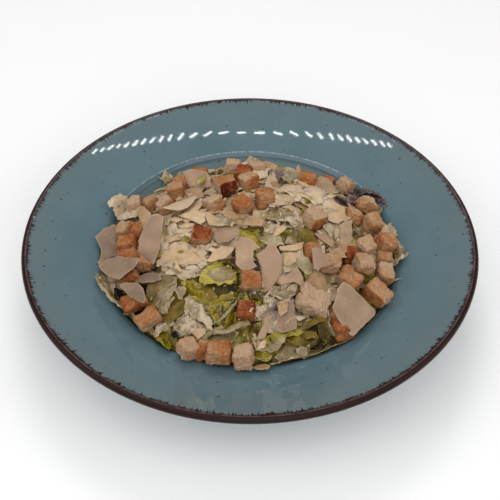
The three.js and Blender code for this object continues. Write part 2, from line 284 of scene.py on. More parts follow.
@dataclass(frozen=True)
class GlazeFinish:
    """Grey-blue speckled glaze, with a brown rim laid on with a dry brush; painted shade, painted light and
    painted highlights are laid into its colour at the well's brink and on the rim.
    """

    glaze: Colour = srgb(95, 118, 125)
    pooled: Colour = srgb(88, 112, 120)
    thin: Colour = srgb(102, 116, 117)
    # brink is painted shade on the well's rounded brink, set against the lamps' highlight there; well is
    # painted light on the well's wall, set against the shade it lies in.
    brink: Colour = srgb(58, 78, 86)
    well: Colour = srgb(124, 146, 154)
    # thinned is a painted highlight: the lamp row's reflection on the far brink, painted as a pale beaded
    # line.
    thinned: Colour = srgb(178, 192, 197)
    speck: Colour = srgb(44, 64, 74)
    rim: Colour = srgb(38, 18, 16)
    # The paler rim colour is a painted highlight along the crown of the lip.
    rim_ridge_highlight: Colour = srgb(98, 72, 70)
    rim_radius: float = 136.2 * MM
    ridge_radius: float = 137.7 * MM
    highlight_line_radius: float = 95.9 * MM
    stroke_depth: float = 6.5 * MM

    def material(self) -> bpy.types.Material:
        """Glaze over the whole plate, with the brushed rim on top.

        Returns:
            The material.
        """
        graph = Graph("glaze")
        x, y, _ = graph.axes(graph.position())
        flat = graph.vector(x, y, 0.0)
        length = graph.node("ShaderNodeVectorMath", {"operation": "LENGTH"}, {0: flat}, "Value")
        around = graph.node("ShaderNodeVectorMath", {"operation": "NORMALIZE"}, {0: flat})
        angle_x, angle_y, _ = graph.axes(around)
        brushed = graph.vector(angle_x * 0.14, angle_y * 0.14, length * 0.09)
        strokes = graph.noise(1.1 * MM, 3.0, 0.8, brushed)
        swells = graph.noise(8 * MM, 2.0, 0.5, brushed)
        reach = ((strokes - 0.46).at_least(0.0) * 2.1 + (swells - 0.5) * 0.4) * self.stroke_depth
        on_rim = (length + reach - self.rim_radius).between(-0.1 * MM, 0.25 * MM)
        from_ridge = length - self.ridge_radius
        # Painted highlight: a paler broken line along the crown of the lip, where the lamps catch it.
        ridge = from_ridge.between(-1.3 * MM, -0.6 * MM) * from_ridge.between(0.3 * MM, -0.5 * MM)
        ridge_highlight = ridge * graph.noise(5 * MM, 4.0, 0.7, brushed).between(0.3, 0.62)
        brown = graph.mix(ridge_highlight * 0.8, self.rim, self.rim_ridge_highlight)
        relief = graph.bump(graph.noise(26 * MM, 2.0, 0.4) * 0.5 + on_rim * strokes * 0.3, 0.12 * MM)
        glazed = self._glazed(graph, length, y)
        glossy = graph.surface(Base_Color=glazed, Roughness=0.03, Normal=relief)
        matt = graph.surface(Base_Color=brown, Roughness=0.32, Specular_IOR_Level=0.16, Normal=relief)
        return graph.close(graph.node("ShaderNodeMixShader", sockets={0: on_rim, 1: glossy, 2: matt}))

    def _glazed(self, graph: Graph, length: Value, y: Value) -> Value:
        """The glaze's colour, with painted shade on the well's brink, painted light on its wall and a painted
        highlight line along its far brink.

        Args:
            graph: The material's tree.
            length: Distance from the plate's middle.
            y: Distance behind the middle.

        Returns:
            The colour, with its specks.
        """
        clouds = graph.noise(40 * MM, 3.0, 0.5).between(0.35, 0.7)
        clouded = graph.mix(clouds, self.glaze, self.pooled)
        even = graph.mix(length.between(112 * MM, 134 * MM) * 0.55, clouded, self.thin)
        # Painted shade on the rounded brink and painted light on the well's wall below it.
        brink = length.between(96.4 * MM, 95.4 * MM) * length.between(92 * MM, 93.5 * MM)
        wall = length.between(93 * MM, 91.5 * MM)
        hollow = graph.mix(wall * 0.8, graph.mix(brink * 0.3, even, self.brink), self.well)
        # Painted highlight: a pale beaded line along the far brink where the lamp row mirrors, fading out
        # towards the near side.
        from_line = length - self.highlight_line_radius
        line = from_line.between(-0.55 * MM, -0.2 * MM) * from_line.between(0.55 * MM, 0.2 * MM)
        highlight_beads = graph.noise(2.2 * MM, 2.0, 0.6).between(0.34, 0.6)
        farness = y.between(25 * MM, 75 * MM)
        mottled = graph.mix(line * highlight_beads * farness * 0.6, hollow, self.thinned)
        wobble = (graph.noise(1.2 * MM, 2.0) - 0.5) * (0.7 * MM)
        coarse = self._specks(graph, 15 * MM, 0.03, 0.55, wobble)
        fine = self._specks(graph, 7.5 * MM, 0.04, 0.6, wobble)
        return graph.mix(coarse.at_least(fine * 0.7), mottled, self.speck)

    @staticmethod
    def _specks(graph: Graph, spacing: float, size: float, bare: float, wobble: Value) -> Value:
        """Specks scattered in the glaze.

        Args:
            graph: The material's tree.
            spacing: How far they lie apart.
            size: Their size as a share of the spacing.
            bare: The share of cells that have none.
            wobble: Makes their outlines uneven.

        Returns:
            1 on a speck, else 0.
        """
        centre = graph.cells(spacing, flat=True)
        chosen = graph.axes(graph.cells(spacing, "Color", flat=True))
        grown = chosen[1] * size + size * 0.5
        return (centre + wobble / spacing < grown) * (chosen[0] > bare)


@dataclass(frozen=True)
class BreadFinish:
    """Toasted bread: pale open crumb, golden to dark crust, as the mesh's own toasting says; on the croutons
    in sight that toasting also holds painted shade.
    """

    crumb: Colour = srgb(192, 161, 132)
    blond: Colour = srgb(180, 142, 106)
    golden: Colour = srgb(172, 118, 74)
    amber: Colour = srgb(160, 92, 48)
    brown: Colour = srgb(128, 58, 26)
    dark: Colour = srgb(76, 28, 12)

    def material(self) -> bpy.types.Material:
        """Bread whose colour follows how far each place is toasted.

        Returns:
            The material.
        """
        graph = Graph("toasted_bread")
        cloud = graph.noise(3.4 * MM, 4.0, 0.65)
        grain = graph.noise(0.6 * MM, 3.0, 0.65)
        toast = graph.attribute("toast") + (cloud - 0.5) * 0.45 + (grain - 0.5) * 0.4
        tones = ((0.0, self.crumb), (0.22, self.blond), (0.42, self.golden), (0.6, self.amber),
                 (0.82, self.brown), (1.0, self.dark))
        pores = graph.cells(1.5 * MM).between(0.34, 0.1)
        patches = graph.noise(1.6 * MM, 4.0, 0.7)
        baked = graph.mix(pores * patches.between(0.4, 0.6) * 0.5, graph.ramp(toast, tones), self.amber)
        colour = graph.mix(patches.between(0.56, 0.72) * 0.16, baked, self.crumb)
        relief = grain * 0.9 + graph.cells(1.0 * MM) * 0.4 + patches * 0.8
        return graph.finish(
            Base_Color=colour,
            Roughness=0.92 - toast.at_most(1.0) * 0.25,
            Normal=graph.bump(relief, 0.55 * MM),
            Specular_IOR_Level=0.2,
            Subsurface_Weight=0.06,
            Subsurface_Radius=(1.0, 0.5, 0.25),
            Subsurface_Scale=0.8 * MM,
        )


@dataclass(frozen=True)
class CheeseFinish:
    """Hard cheese, shaved: waxy, faintly grained and paler at its broken edges, partly as a painted
    highlight; the crests of its bends are painted paler and its hollows darker.
    """

    name: str
    body: Colour
    pale: Colour
    shade: Colour
    fleck: Colour = srgb(222, 198, 172)
    roughness: float = 0.4
    mottle: float = 4.5 * MM
    relief: float = 0.35 * MM
    contrast: float = 0.4

    def material(self) -> bpy.types.Material:
        """Cheese with soft mottling, fine grain and pale specks.

        Returns:
            The material.
        """
        graph = Graph(self.name)
        edge = graph.attribute("edge")
        tone = graph.attribute("tone")
        cloud = graph.noise(self.mottle, 5.0, 0.65)
        grain = graph.noise(0.9 * MM, 4.0, 0.7)
        broad = graph.noise(12 * MM, 2.0, 0.4)
        specks = graph.noise(1.0 * MM, 2.0, 0.6).between(0.66, 0.74)
        crest = graph.attribute("crest")
        # Painted light and shade: the crests of the bends are made paler and the hollows darker.
        shade = tone * 0.6 + (crest - 0.5) * 0.25 + (cloud - 0.5) * self.contrast + (broad - 0.5) * 0.5
        mottled = graph.ramp(shade, ((0.0, self.shade), (0.6, self.body), (1.0, self.pale)))
        # Pale broken edges, partly the cheese's own and partly a painted highlight where the edges catch the
        # light.
        rimmed = graph.mix((edge + (grain - 0.5) * 0.3).between(0.12, 0.0) * 0.34, mottled, self.pale)
        grained = graph.mix(grain.between(0.5, 0.75) * 0.4, rimmed, self.shade)
        colour = graph.mix(specks * cloud.between(0.42, 0.56) * 0.7, grained, self.fleck)
        return graph.finish(
            Base_Color=colour,
            Roughness=self.roughness + (cloud - 0.5) * 0.2,
            Normal=graph.bump(grain * 0.8 + cloud + specks * 0.3, self.relief),
            Specular_IOR_Level=0.35,
            Subsurface_Weight=0.7,
            Subsurface_Radius=(0.8, 0.72, 0.6),
            Subsurface_Scale=2.8 * MM,
        )


@dataclass(frozen=True)
class LeafFinish:
    """Cut lettuce: veined, moist, with a creamy dressing where it has caught; its crests are painted paler
    and its hollows deeper, and the dressing patches also stand in for painted wet glints.
    """

    name: str
    body: Colour
    pale: Colour
    deep: Colour
    dressing: Colour = srgb(196, 174, 142)
    dressed_from: float = 0.62
    roughness: float = 0.3
    contrast: float = 1.1
    gloss: float = 0.3
    texture: float = 1.0

    def material(self) -> bpy.types.Material:
        """Leaf with fibres and veins, and dressing in patches.

        Returns:
            The material.
        """
        graph = Graph(self.name)
        edge = graph.attribute("edge")
        tone = graph.attribute("tone")
        along = graph.attribute("along")
        across = graph.attribute("across")
        crest = graph.attribute("crest")
        surface = graph.vector(along * 0.02, across * 0.07, tone * 0.3)
        fibres = graph.noise(1.6 * MM, 4.0, 0.65, surface)
        cloud = graph.noise(3.6 * MM, 5.0, 0.7)
        blotch = graph.noise(2.8 * MM, 5.0, 0.75)
        veins = graph.cells(2.6 * MM, feature="DISTANCE_TO_EDGE").between(0.1, 0.0)
        # Painted light and shade: the crests of the sheet's waves are made paler and its hollows deeper.
        shade = (tone + (crest - 0.5) * 0.7 + (cloud - 0.5) * self.contrast
                 + (fibres - 0.5) * (0.6 * self.texture) + veins * (0.12 * self.texture))
        shaded = graph.ramp(shade, ((0.0, self.deep), (0.5, self.body), (1.0, self.pale)))
        rimmed = graph.mix(edge.between(0.16, 0.0) * 0.45, shaded, self.pale)
        # The dressing gathers towards crests, and its pale patches also stand in for painted wet glints.
        caught = blotch + (fibres - 0.5) * 0.3 + (crest - 0.5) * 0.25
        dressing_and_glints = caught.between(self.dressed_from, self.dressed_from + 0.06)
        colour = graph.mix(dressing_and_glints * 0.7, rimmed, self.dressing)
        relief = fibres * 0.5 + veins * 0.3 + dressing_and_glints * 0.3 + cloud * 0.4 + blotch * 0.3
        return graph.finish(
            Base_Color=colour,
            Roughness=self.roughness + dressing_and_glints * 0.1 + (cloud - 0.5) * 0.2,
            Normal=graph.bump(relief, 0.5 * MM * self.texture),
            Specular_IOR_Level=self.gloss,
            Coat_Weight=self.gloss,
            Coat_Roughness=0.14,
            Subsurface_Weight=0.5,
            Subsurface_Radius=(0.9, 0.85, 0.4),
            Subsurface_Scale=2.2 * MM,
        )


@dataclass(frozen=True)
class CoreFinish:
    """What shows between the pieces: small scraps of leaf and cheese, packed close, with painted shade in the
    hollows of its folds.
    """

    # hollow is painted shade, laid in the hollows of the core's folds.
    hollow: Colour = srgb(88, 69, 26)
    green: Colour = srgb(112, 96, 20)
    olive: Colour = srgb(146, 126, 70)
    cream: Colour = srgb(194, 166, 128)

    def material(self) -> bpy.types.Material:
        """Scraps in small patches of colour, with painted shade in the hollows.

        Returns:
            The material.
        """
        graph = Graph("heap_core")
        tone = graph.attribute("tone")
        crest = graph.attribute("crest")
        patches = graph.axes(graph.cells(4.5 * MM, "Color"))[0]
        shade = tone + (patches - 0.5) * 0.5 + (graph.noise(3 * MM, 4.0, 0.6) - 0.5) * 0.6
        tones = ((0.0, self.green), (0.35, self.olive), (0.75, self.cream))
        relief = graph.noise(2.5 * MM, 4.0, 0.6)
        # Painted shade: the hollows of the folds darkened, less where the core is creamy.
        hollows = crest.between(0.36, 0.05) * tone.between(1.1, 0.2)
        colour = graph.mix(hollows, graph.ramp(shade, tones), self.hollow)
        return graph.finish(
            Base_Color=colour,
            Roughness=0.35 + relief * 0.2,
            Normal=graph.bump(relief, 0.8 * MM),
        )


@dataclass(frozen=True)
class FloorFinish:
    """The pale matt surface that the plate stands on."""

    colour: Colour = srgb(254, 254, 254)

    def material(self) -> bpy.types.Material:
        """The floor's material."""
        return Graph("pale_floor").finish(Base_Color=self.colour, Roughness=0.9)


# --- forms


@dataclass(frozen=True)
class View:
    """The camera's place and turn, and what it sees at a point of its frame of 500 by 500."""

    place: Place = mm(0.0, -346.6, 377.1)
    pitch: float = math.radians(45.49)
    roll: float = math.radians(0.39)
    frame_width: float = 500.0
    focal_width: float = 769.0
    sensor: float = 36.0

    @property
    def axes(self) -> np.ndarray:
        """The camera's own directions.

        Returns:
            Right, up and forward as three rows.
        """
        forward = np.array([0.0, math.cos(self.pitch), -math.sin(self.pitch)])
        right = np.array([1.0, 0.0, 0.0])
        up = np.cross(right, forward)
        cosine, sine = math.cos(self.roll), math.sin(self.roll)
        return np.array([right * cosine + up * sine, up * cosine - right * sine, forward])

    def ray(self, x: float, y: float) -> np.ndarray:
        """The direction in which a point of the frame is seen.

        Args:
            x: Distance from the frame's left edge.
            y: Distance from its top edge.

        Returns:
            The direction, one unit deep.
        """
        right, up, forward = self.axes
        middle = self.frame_width / 2
        return forward + (x - middle) / self.focal_width * right + (middle - y) / self.focal_width * up

    def camera(self) -> None:
        """Makes the scene's camera."""
        bpy.ops.object.camera_add(location=self.place)
        camera = bpy.context.object
        camera.name = "camera"
        right, up, forward = self.axes
        turn = Matrix((right, up, -forward)).transposed().to_4x4()
        camera.matrix_world = Matrix.Translation(self.place) @ turn
        camera.data.sensor_width = self.sensor
        camera.data.lens = self.sensor * self.focal_width / self.frame_width
        camera.data.clip_start = 0.01
        bpy.context.scene.camera = camera


def curve(start: Point, bend: Point, end: Point, steps: int) -> list[Point]:
    """Points on a curve that leaves start towards bend and comes to end from there.

    Args:
        start: Where it starts; this point is left out.
        bend: The point that pulls it.
        end: Where it ends.
        steps: Number of points.

    Returns:
        The points after start.
    """
    points = []
    for step in range(1, steps + 1):
        t = step / steps
        a, b, c = (1 - t) ** 2, 2 * t * (1 - t), t ** 2
        points.append((a * start[0] + b * bend[0] + c * end[0], a * start[1] + b * bend[1] + c * end[1]))
    return points


@dataclass(frozen=True)
class PlateForm:
    """Sizes of the plate, as its solid has them."""

    radius: float = 140 * MM
    rim_top: float = 46 * MM
    lip_radius: float = 2.3 * MM
    well_radius: float = 94 * MM
    well_edge: float = 29 * MM
    floor_radius: float = 60 * MM
    floor_height: float = 8 * MM
    wall: float = 4.8 * MM
    foot_outer: float = 60 * MM
    foot_inner: float = 52 * MM
    foot_height: float = 3.2 * MM
    foot_slope: float = 1 * MM
    under_bend: float = 89 * MM
    flange_bend: float = 24 * MM
    flange_sag: float = 7.4 * MM
    edge_round: float = 2 * MM
    well_bend: float = 86 * MM
    lip_curl: float = 112.0

    def section(self) -> list[Point]:
        """Half section from the middle of the underside, round the rim, to the middle of the well.

        Returns:
            Distances from the axis, with heights.
        """
        foot, height, slope = self.foot_inner, self.foot_height, self.foot_slope
        lip_x, lip_z = self.radius - self.lip_radius, self.rim_top - self.lip_radius
        points = [(0.0, height), (foot / 2, height), (foot - slope, height), (foot, 0.3 * MM),
                  (foot + 0.5 * MM, 0.0), (self.foot_outer - 0.5 * MM, 0.0), (self.foot_outer, 0.3 * MM),
                  (self.foot_outer + slope, height)]
        under_end = (self.well_radius + self.edge_round, self.well_edge - self.wall)
        points += curve(points[-1], (self.under_bend, height), under_end, 12)
        bottom = (lip_x, lip_z - self.lip_radius)
        points += [(under_end[0] + (bottom[0] - under_end[0]) * share,
                    under_end[1] + (bottom[1] - under_end[1]) * share) for share in (0.25, 0.5, 0.75, 1.0)]
        for step in range(1, 13):
            angle = math.radians(-90 + (90 + self.lip_curl) * step / 12)
            points.append((lip_x + self.lip_radius * math.cos(angle),
                           lip_z + self.lip_radius * math.sin(angle)))
        brink = (self.well_radius + self.edge_round, self.well_edge)
        bend = (self.well_radius + self.flange_bend, self.well_edge + self.flange_sag)
        flange = curve(points[-1], bend, brink, 16)
        points += flange[:-1]
        points += [(flange[-2][0] + (brink[0] - flange[-2][0]) * share,
                    flange[-2][1] + (brink[1] - flange[-2][1]) * share) for share in (0.6, 0.9, 1.0)]
        inner = (self.well_radius - 1 * MM, self.well_edge - self.edge_round)
        points += curve(brink, (self.well_radius, self.well_edge - self.edge_round / 2), inner, 4)
        floor = self.floor_height
        points += curve(inner, (self.well_bend, floor), (self.floor_radius, floor), 14)
        return points + [(self.floor_radius / 2, floor), (0.0, floor)]

    def top_height(self, distance: np.ndarray) -> np.ndarray:
        """Height of the plate's upper side.

        Args:
            distance: Distances from the plate's middle.

        Returns:
            The height at each.
        """
        section = self.section()
        start = max(range(len(section)), key=lambda i: section[i][1])
        upper = section[start:][::-1]
        return np.interp(distance, [p[0] for p in upper], [p[1] for p in upper])


@dataclass(frozen=True)
class HeapForm:
    """The form of the heap, as its solid has it."""

    centre_x: float = 1 * MM
    centre_y: float = -5 * MM
    radius: float = 92 * MM
    near_edge: float = 26 * MM
    far_edge: float = 21 * MM
    top: float = 50 * MM
    roundness: float = 2.3
    core_radius: float = 89.5 * MM
    lump: float = 1.1 * MM
    lump_lengths: tuple[float, float] = mm(65, 49)
    skew: float = 0.35

    def height(self, x: np.ndarray, y: np.ndarray) -> np.ndarray:
        """Height of the bare heap.

        Args:
            x: Places in plan, from left to right.
            y: The same places, from near to far.

        Returns:
            The height at each.
        """
        share = np.minimum(np.hypot(x - self.centre_x, y - self.centre_y) / self.radius, 1)
        first, second = self.lump_lengths
        wave = (np.sin(2 * math.pi * (x + self.skew * y) / first)
                + np.sin(2 * math.pi * (y - self.skew * x) / second))
        step = np.clip((y + self.radius / 2) / (self.radius * 1.5), 0, 1)
        farness = step * step * (3 - 2 * step)
        edge = self.near_edge + (self.far_edge - self.near_edge) * farness
        return edge + (self.top + self.lump * wave - edge) * (1 - share ** self.roundness)


@dataclass
class Ground:
    """What loose pieces lie on, and what they keep clear of."""

    plate: PlateForm
    heap: HeapForm
    view: View
    toppings: BVHTree
    clearance: float = 0.35 * MM
    depths: tuple[float, float] = (0.34, 0.66)
    samples: int = 1600
    above_all: float = 0.2
    below_all: float = 4 * MM

    def height(self, x: np.ndarray, y: np.ndarray) -> np.ndarray:
        """Height of the heap, or of the plate beyond it.

        Args:
            x: Places in plan, from left to right.
            y: The same places, from near to far.

        Returns:
            The height at each.
        """
        distance = np.hypot(x, y)
        on_plate = self.plate.top_height(distance) + self.clearance
        inside = np.hypot(x - self.heap.centre_x, y - self.heap.centre_y) < self.heap.radius
        heap = np.where(inside, self.heap.height(x, y), 0.0)
        return np.maximum(heap, on_plate)

    def top_of_all(self, x: np.ndarray, y: np.ndarray) -> np.ndarray:
        """Height of whatever lies on top: a topping, the heap or the plate.

        Args:
            x: Places in plan, from left to right.
            y: The same places, from near to far.

        Returns:
            The height at each.
        """
        heights = self.height(x, y)
        for i in range(len(heights)):
            hit = self.toppings.ray_cast(Vector((x[i], y[i], self.above_all)), Vector((0, 0, -1)))[0]
            if hit is not None:
                heights[i] = max(heights[i], hit.z)
        return heights

    def seen_at(self, x: float, y: float, lift: float, over: bool = False) -> np.ndarray:
        """The place above the heap that the camera sees at a point of its frame.

        Args:
            x: Distance from the frame's left edge.
            y: Distance from its top edge.
            lift: Height above the heap.
            over: Whether the toppings count as part of the heap.

        Returns:
            The place.
        """
        ray = self.view.ray(x, y)
        if over:
            hit = self.toppings.ray_cast(Vector(self.view.place), Vector(ray))[0]
            if hit is not None:
                return np.array(hit) - ray / np.linalg.norm(ray) * lift
        depths = np.linspace(*self.depths, self.samples)
        places = np.array(self.view.place) + depths[:, None] * ray
        below = places[:, 2] < self.height(places[:, 0], places[:, 1]) + lift
        return places[int(np.argmax(below))]

    def settle(self, points: np.ndarray) -> np.ndarray:
        """Presses points down to below the toppings that lie over them, and up to clear the plate.

        Args:
            points: The points, which stay as they are.

        Returns:
            The settled points.
        """
        settled = points.copy()
        for i, (x, y, z) in enumerate(points):
            hit = self.toppings.ray_cast(Vector((x, y, self.below_all)), Vector((0, 0, 1)))[0]
            if hit is not None and hit.z - self.clearance < z:
                settled[i, 2] = hit.z - self.clearance
        lowest = self.plate.top_height(np.hypot(settled[:, 0], settled[:, 1])) + self.clearance
        settled[:, 2] = np.maximum(settled[:, 2], lowest)
        return settled


# --- mesh work

ROW_SPACING = 0.87
INNER_SHIFT = 0.2
EDGE_GAP = 0.45
WAVES, FINE_WAVES = 3.2, 1.4
TINY = 1e-12


def deselect() -> None:
    """Leaves nothing selected."""
    for piece in bpy.context.selected_objects:
        piece.select_set(False)


def focus(piece: bpy.types.Object) -> None:
    """Makes a piece the only one selected, and the active one.

    Args:
        piece: The piece.
    """
    deselect()
    piece.select_set(True)
    bpy.context.view_layer.objects.active = piece


def apply_modifier(piece: bpy.types.Object, kind: str, **settings: float | str | bool | int) -> None:
    """Adds a modifier to a piece and applies it.

    Args:
        piece: The piece.
        kind: The modifier's type.
        **settings: Its settings.
    """
    focus(piece)
    modifier = piece.modifiers.new(kind.lower(), kind)
    for name, value in settings.items():
        setattr(modifier, name, value)
    bpy.ops.object.modifier_apply(modifier=modifier.name)


def corners_of(mesh: bpy.types.Mesh) -> np.ndarray:
    """Reads the places of a mesh's vertices.

    Args:
        mesh: The mesh.

    Returns:
        The places as rows.
    """
    places = np.empty(len(mesh.vertices) * 3, np.float32)
    mesh.vertices.foreach_get("co", places)
    return places.reshape(-1, 3).astype(float)


def normals_of(mesh: bpy.types.Mesh) -> np.ndarray:
    """Reads the normals of a mesh's vertices.

    Args:
        mesh: The mesh.

    Returns:
        The normals as rows.
    """
    normals = np.empty(len(mesh.vertices) * 3, np.float32)
    mesh.vertex_normals.foreach_get("vector", normals)
    return normals.reshape(-1, 3).astype(float)


def move_corners(mesh: bpy.types.Mesh, places: np.ndarray) -> None:
    """Puts a mesh's vertices in new places."""
    mesh.vertices.foreach_set("co", places.astype(np.float32).ravel())
    mesh.update()


def carry(mesh: bpy.types.Mesh, name: str, values: np.ndarray) -> None:
    """Gives a mesh a number at each of its vertices."""
    layer = mesh.attributes.new(name, "FLOAT", "POINT")
    layer.data.foreach_set("value", values.astype(np.float32))


def dress(piece: bpy.types.Object, material: bpy.types.Material, slot: str, *nodes: str) -> None:
    """Finishes a piece and binds it to the part.

    Args:
        piece: The piece.
        material: Its material.
        slot: Not used.
        *nodes: The solids that it stands for.
    """
    piece.data.materials.clear()
    piece.data.materials.append(material)
    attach(piece, BODY)
    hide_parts(*nodes)
    LOG.info("%s: %d faces", piece.name, len(piece.data.polygons))


def merged_copy(node: str, name: str) -> bpy.types.Object:
    """A new piece with the form of a solid, its loose triangles joined.

    Args:
        node: The solid's name.
        name: The new piece's name.

    Returns:
        The piece.
    """
    piece = bpy.data.objects.new(name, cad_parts[node].data.copy())
    bpy.context.scene.collection.objects.link(piece)
    focus(piece)
    bpy.ops.object.mode_set(mode="EDIT")
    bpy.ops.mesh.select_all(action="SELECT")
    bpy.ops.mesh.remove_doubles(threshold=0.02 * MM)
    bpy.ops.object.mode_set(mode="OBJECT")
    return piece


def ripple(points: np.ndarray, size: float, seed: int) -> np.ndarray:
    """Smooth noise about zero at some points.

    Args:
        points: The points.
        size: Length of its waves.
        seed: Picks the pattern.

    Returns:
        A number from about -1 to 1 for each.
    """
    shift = Vector((seed * 17.31, seed * 5.77, seed * 9.13))
    return np.array([noise.noise(Vector(p) / size + shift) for p in points])


def upright(points: np.ndarray) -> np.ndarray:
    """Points of a plane with a height of 0."""
    return np.column_stack([points, np.zeros(len(points))])


@dataclass(frozen=True)
class Cut:
    """A flat shape cut out and filled with triangles that face up.

    inward is how far each point lies in from the edge: 0 on it, 1 at the innermost.
    """

    points: np.ndarray
    triangles: np.ndarray
    inward: np.ndarray


@dataclass
class SheetMesh:
    """Thin pieces that gather in one mesh, with what their material reads."""

    vertices: list[np.ndarray] = field(default_factory=list)
    faces: list[np.ndarray] = field(default_factory=list)
    layers: dict[str, list[np.ndarray]] = field(default_factory=lambda: defaultdict(list))
    count: int = 0
    edge_share: float = 0.35

    def add(self, cut: Cut, middle: np.ndarray, thickness: float, tone: float, crest: np.ndarray,
            grain: np.ndarray) -> None:
        """Adds a sheet: both of its faces and the wall round its edge.

        Args:
            cut: Its flat shape.
            middle: Where each of its points lies, half way through.
            thickness: Its thickness.
            tone: Its shade.
            crest: How near each point is to a crest.
            grain: How far each point lies along and across its fibres.
        """
        triangles, size = cut.triangles, len(middle)
        a, b, c = (middle[triangles[:, i]] for i in range(3))
        flat = np.cross(b - a, c - a)
        normals = np.zeros_like(middle)
        for i in range(3):
            np.add.at(normals, triangles[:, i], flat)
        normals /= np.maximum(np.linalg.norm(normals, axis=1, keepdims=True), TINY)
        thinned = self.edge_share + (1 - self.edge_share) * np.clip(cut.inward * 4, 0, 1)
        offset = normals * (thickness / 2 * thinned)[:, None]
        edges = dict.fromkeys((start, end) for triangle in triangles.tolist()
                              for start, end in zip(triangle, triangle[1:] + triangle[:1]))
        rim = [(start, end) for start, end in edges if (end, start) not in edges]
        walls = [(s + size, e, s) for s, e in rim] + [(s + size, e + size, e) for s, e in rim]
        faces = np.concatenate([triangles, triangles[:, ::-1] + size, np.array(walls, int).reshape(-1, 3)])
        self.vertices.append(np.concatenate([middle + offset, middle - offset]))
        self.faces.append(faces + self.count)
        layers = {"edge": cut.inward, "tone": np.full(size, tone), "crest": crest, "along": grain[:, 0],
                  "across": grain[:, 1]}
        for name, values in layers.items():
            self.layers[name].append(np.tile(values, 2))
        self.count += 2 * size

    def piece(self, name: str) -> bpy.types.Object:
        """Makes one piece of the gathered sheets.

        Args:
            name: The piece's name.

        Returns:
            The piece.
        """
        mesh = bpy.data.meshes.new(name)
        places = np.concatenate(self.vertices)
        faces = np.concatenate(self.faces)
        mesh.vertices.add(len(places))
        mesh.vertices.foreach_set("co", places.astype(np.float32).ravel())
        mesh.loops.add(faces.size)
        mesh.loops.foreach_set("vertex_index", faces.astype(np.int32).ravel())
        mesh.polygons.add(len(faces))
        mesh.polygons.foreach_set("loop_start", np.arange(0, faces.size, 3, dtype=np.int32))
        mesh.update(calc_edges=True)
        mesh.validate()
        for layer, values in self.layers.items():
            carry(mesh, layer, np.concatenate(values))
        made = bpy.data.objects.new(name, mesh)
        bpy.context.scene.collection.objects.link(made)
        focus(made)
        bpy.ops.object.shade_smooth_by_angle(angle=math.radians(50))
        return made


def uneven_outline(corners: np.ndarray, step: float, ragged: float, seed: int) -> np.ndarray:
    """An outline with points set close along its sides and its line made ragged.

    Args:
        corners: The outline's corners.
        step: Usual distance between points.
        ragged: How far points are moved.
        seed: Picks the pattern.

    Returns:
        The close-set outline.
    """
    points = []
    for start, end in zip(corners, np.roll(corners, -1, axis=0)):
        count = max(1, int(round(np.linalg.norm(end - start) / step)))
        points.extend(start + (end - start) * i / count for i in range(count))
    outline = np.array(points)
    spread = upright(outline)
    coarse = np.column_stack([ripple(spread, WAVES * step, seed + shift) for shift in (0, 50)])
    fine = np.column_stack([ripple(spread, FINE_WAVES * step, seed + shift) for shift in (70, 90)])
    return outline + (coarse * 2 + fine) * ragged


def fill(outline: np.ndarray, step: float, draw: random.Random) -> tuple[np.ndarray, np.ndarray]:
    """Fills an outline with triangles of even size.

    Args:
        outline: The outline's points, in order.
        step: Usual length of a triangle's side.
        draw: Source of the small shifts of the inner points.

    Returns:
        Points, and triangles that face up.
    """
    low, high = outline.min(0), outline.max(0)
    inner = []
    rows = int((high[1] - low[1]) / (step * ROW_SPACING)) + 1
    for row in range(rows):
        y = low[1] + row * step * ROW_SPACING
        x = low[0] + (row % 2) * step / 2
        while x < high[0]:
            aside, along = (draw.uniform(-INNER_SHIFT, INNER_SHIFT) * step for _ in range(2))
            inner.append((x + aside, y + along))
            x += step
    inner = np.array(inner).reshape(-1, 2)
    inner = inner[within(inner, outline)]
    if len(inner):
        gaps = np.linalg.norm(inner[:, None] - outline[None], axis=2).min(1)
        inner = inner[gaps > step * EDGE_GAP]
    given = [Vector(p) for p in outline] + [Vector(p) for p in inner]
    size = len(outline)
    sides = [(i, (i + 1) % size) for i in range(size)]
    points, _, triangles, *_ = delaunay_2d_cdt(given, sides, [], 0, 1e-7, False)
    places = np.array([tuple(p) for p in points])
    faces = np.array([t for t in triangles if len(t) == 3], int).reshape(-1, 3)
    faces = faces[within(places[faces].mean(1), outline)]
    a, b, c = (places[faces[:, i]] for i in range(3))
    turned = (b[:, 0] - a[:, 0]) * (c[:, 1] - a[:, 1]) - (b[:, 1] - a[:, 1]) * (c[:, 0] - a[:, 0])
    faces[turned < 0] = faces[turned < 0][:, ::-1]
    faces = faces[np.abs(turned) > TINY]
    return places, faces


def within(points: np.ndarray, outline: np.ndarray) -> np.ndarray:
    """Which points lie inside an outline.

    Args:
        points: The points as rows.
        outline: The outline's points, in order.

    Returns:
        True for each point inside.
    """
    if not len(points):
        return np.zeros(0, bool)
    x, y = points[:, 0][:, None], points[:, 1][:, None]
    start, end = outline, np.roll(outline, -1, axis=0)
    spans = (start[:, 1] > y) != (end[:, 1] > y)
    rise = end[:, 1] - start[:, 1]
    meets = start[:, 0] + (y - start[:, 1]) * (end[:, 0] - start[:, 0]) / np.where(rise == 0, TINY, rise)
    return (spans & (x < meets)).sum(1) % 2 == 1


def cut_out(corners: np.ndarray, step: float, ragged: float, seed: int, draw: random.Random) -> Cut:
    """Cuts a flat shape out along a ragged line.

    Args:
        corners: The line's corners.
        step: Usual distance between points.
        ragged: How ragged the line is.
        seed: Picks the line's pattern.
        draw: Source of the small shifts of the inner points.

    Returns:
        The shape.
    """
    outline = uneven_outline(corners, step, ragged, seed)
    points, triangles = fill(outline, step, draw)
    gaps = np.linalg.norm(points[:, None] - outline[None], axis=2).min(1)
    return Cut(points, triangles, gaps / max(gaps.max(), 1e-9))


# --- the plate


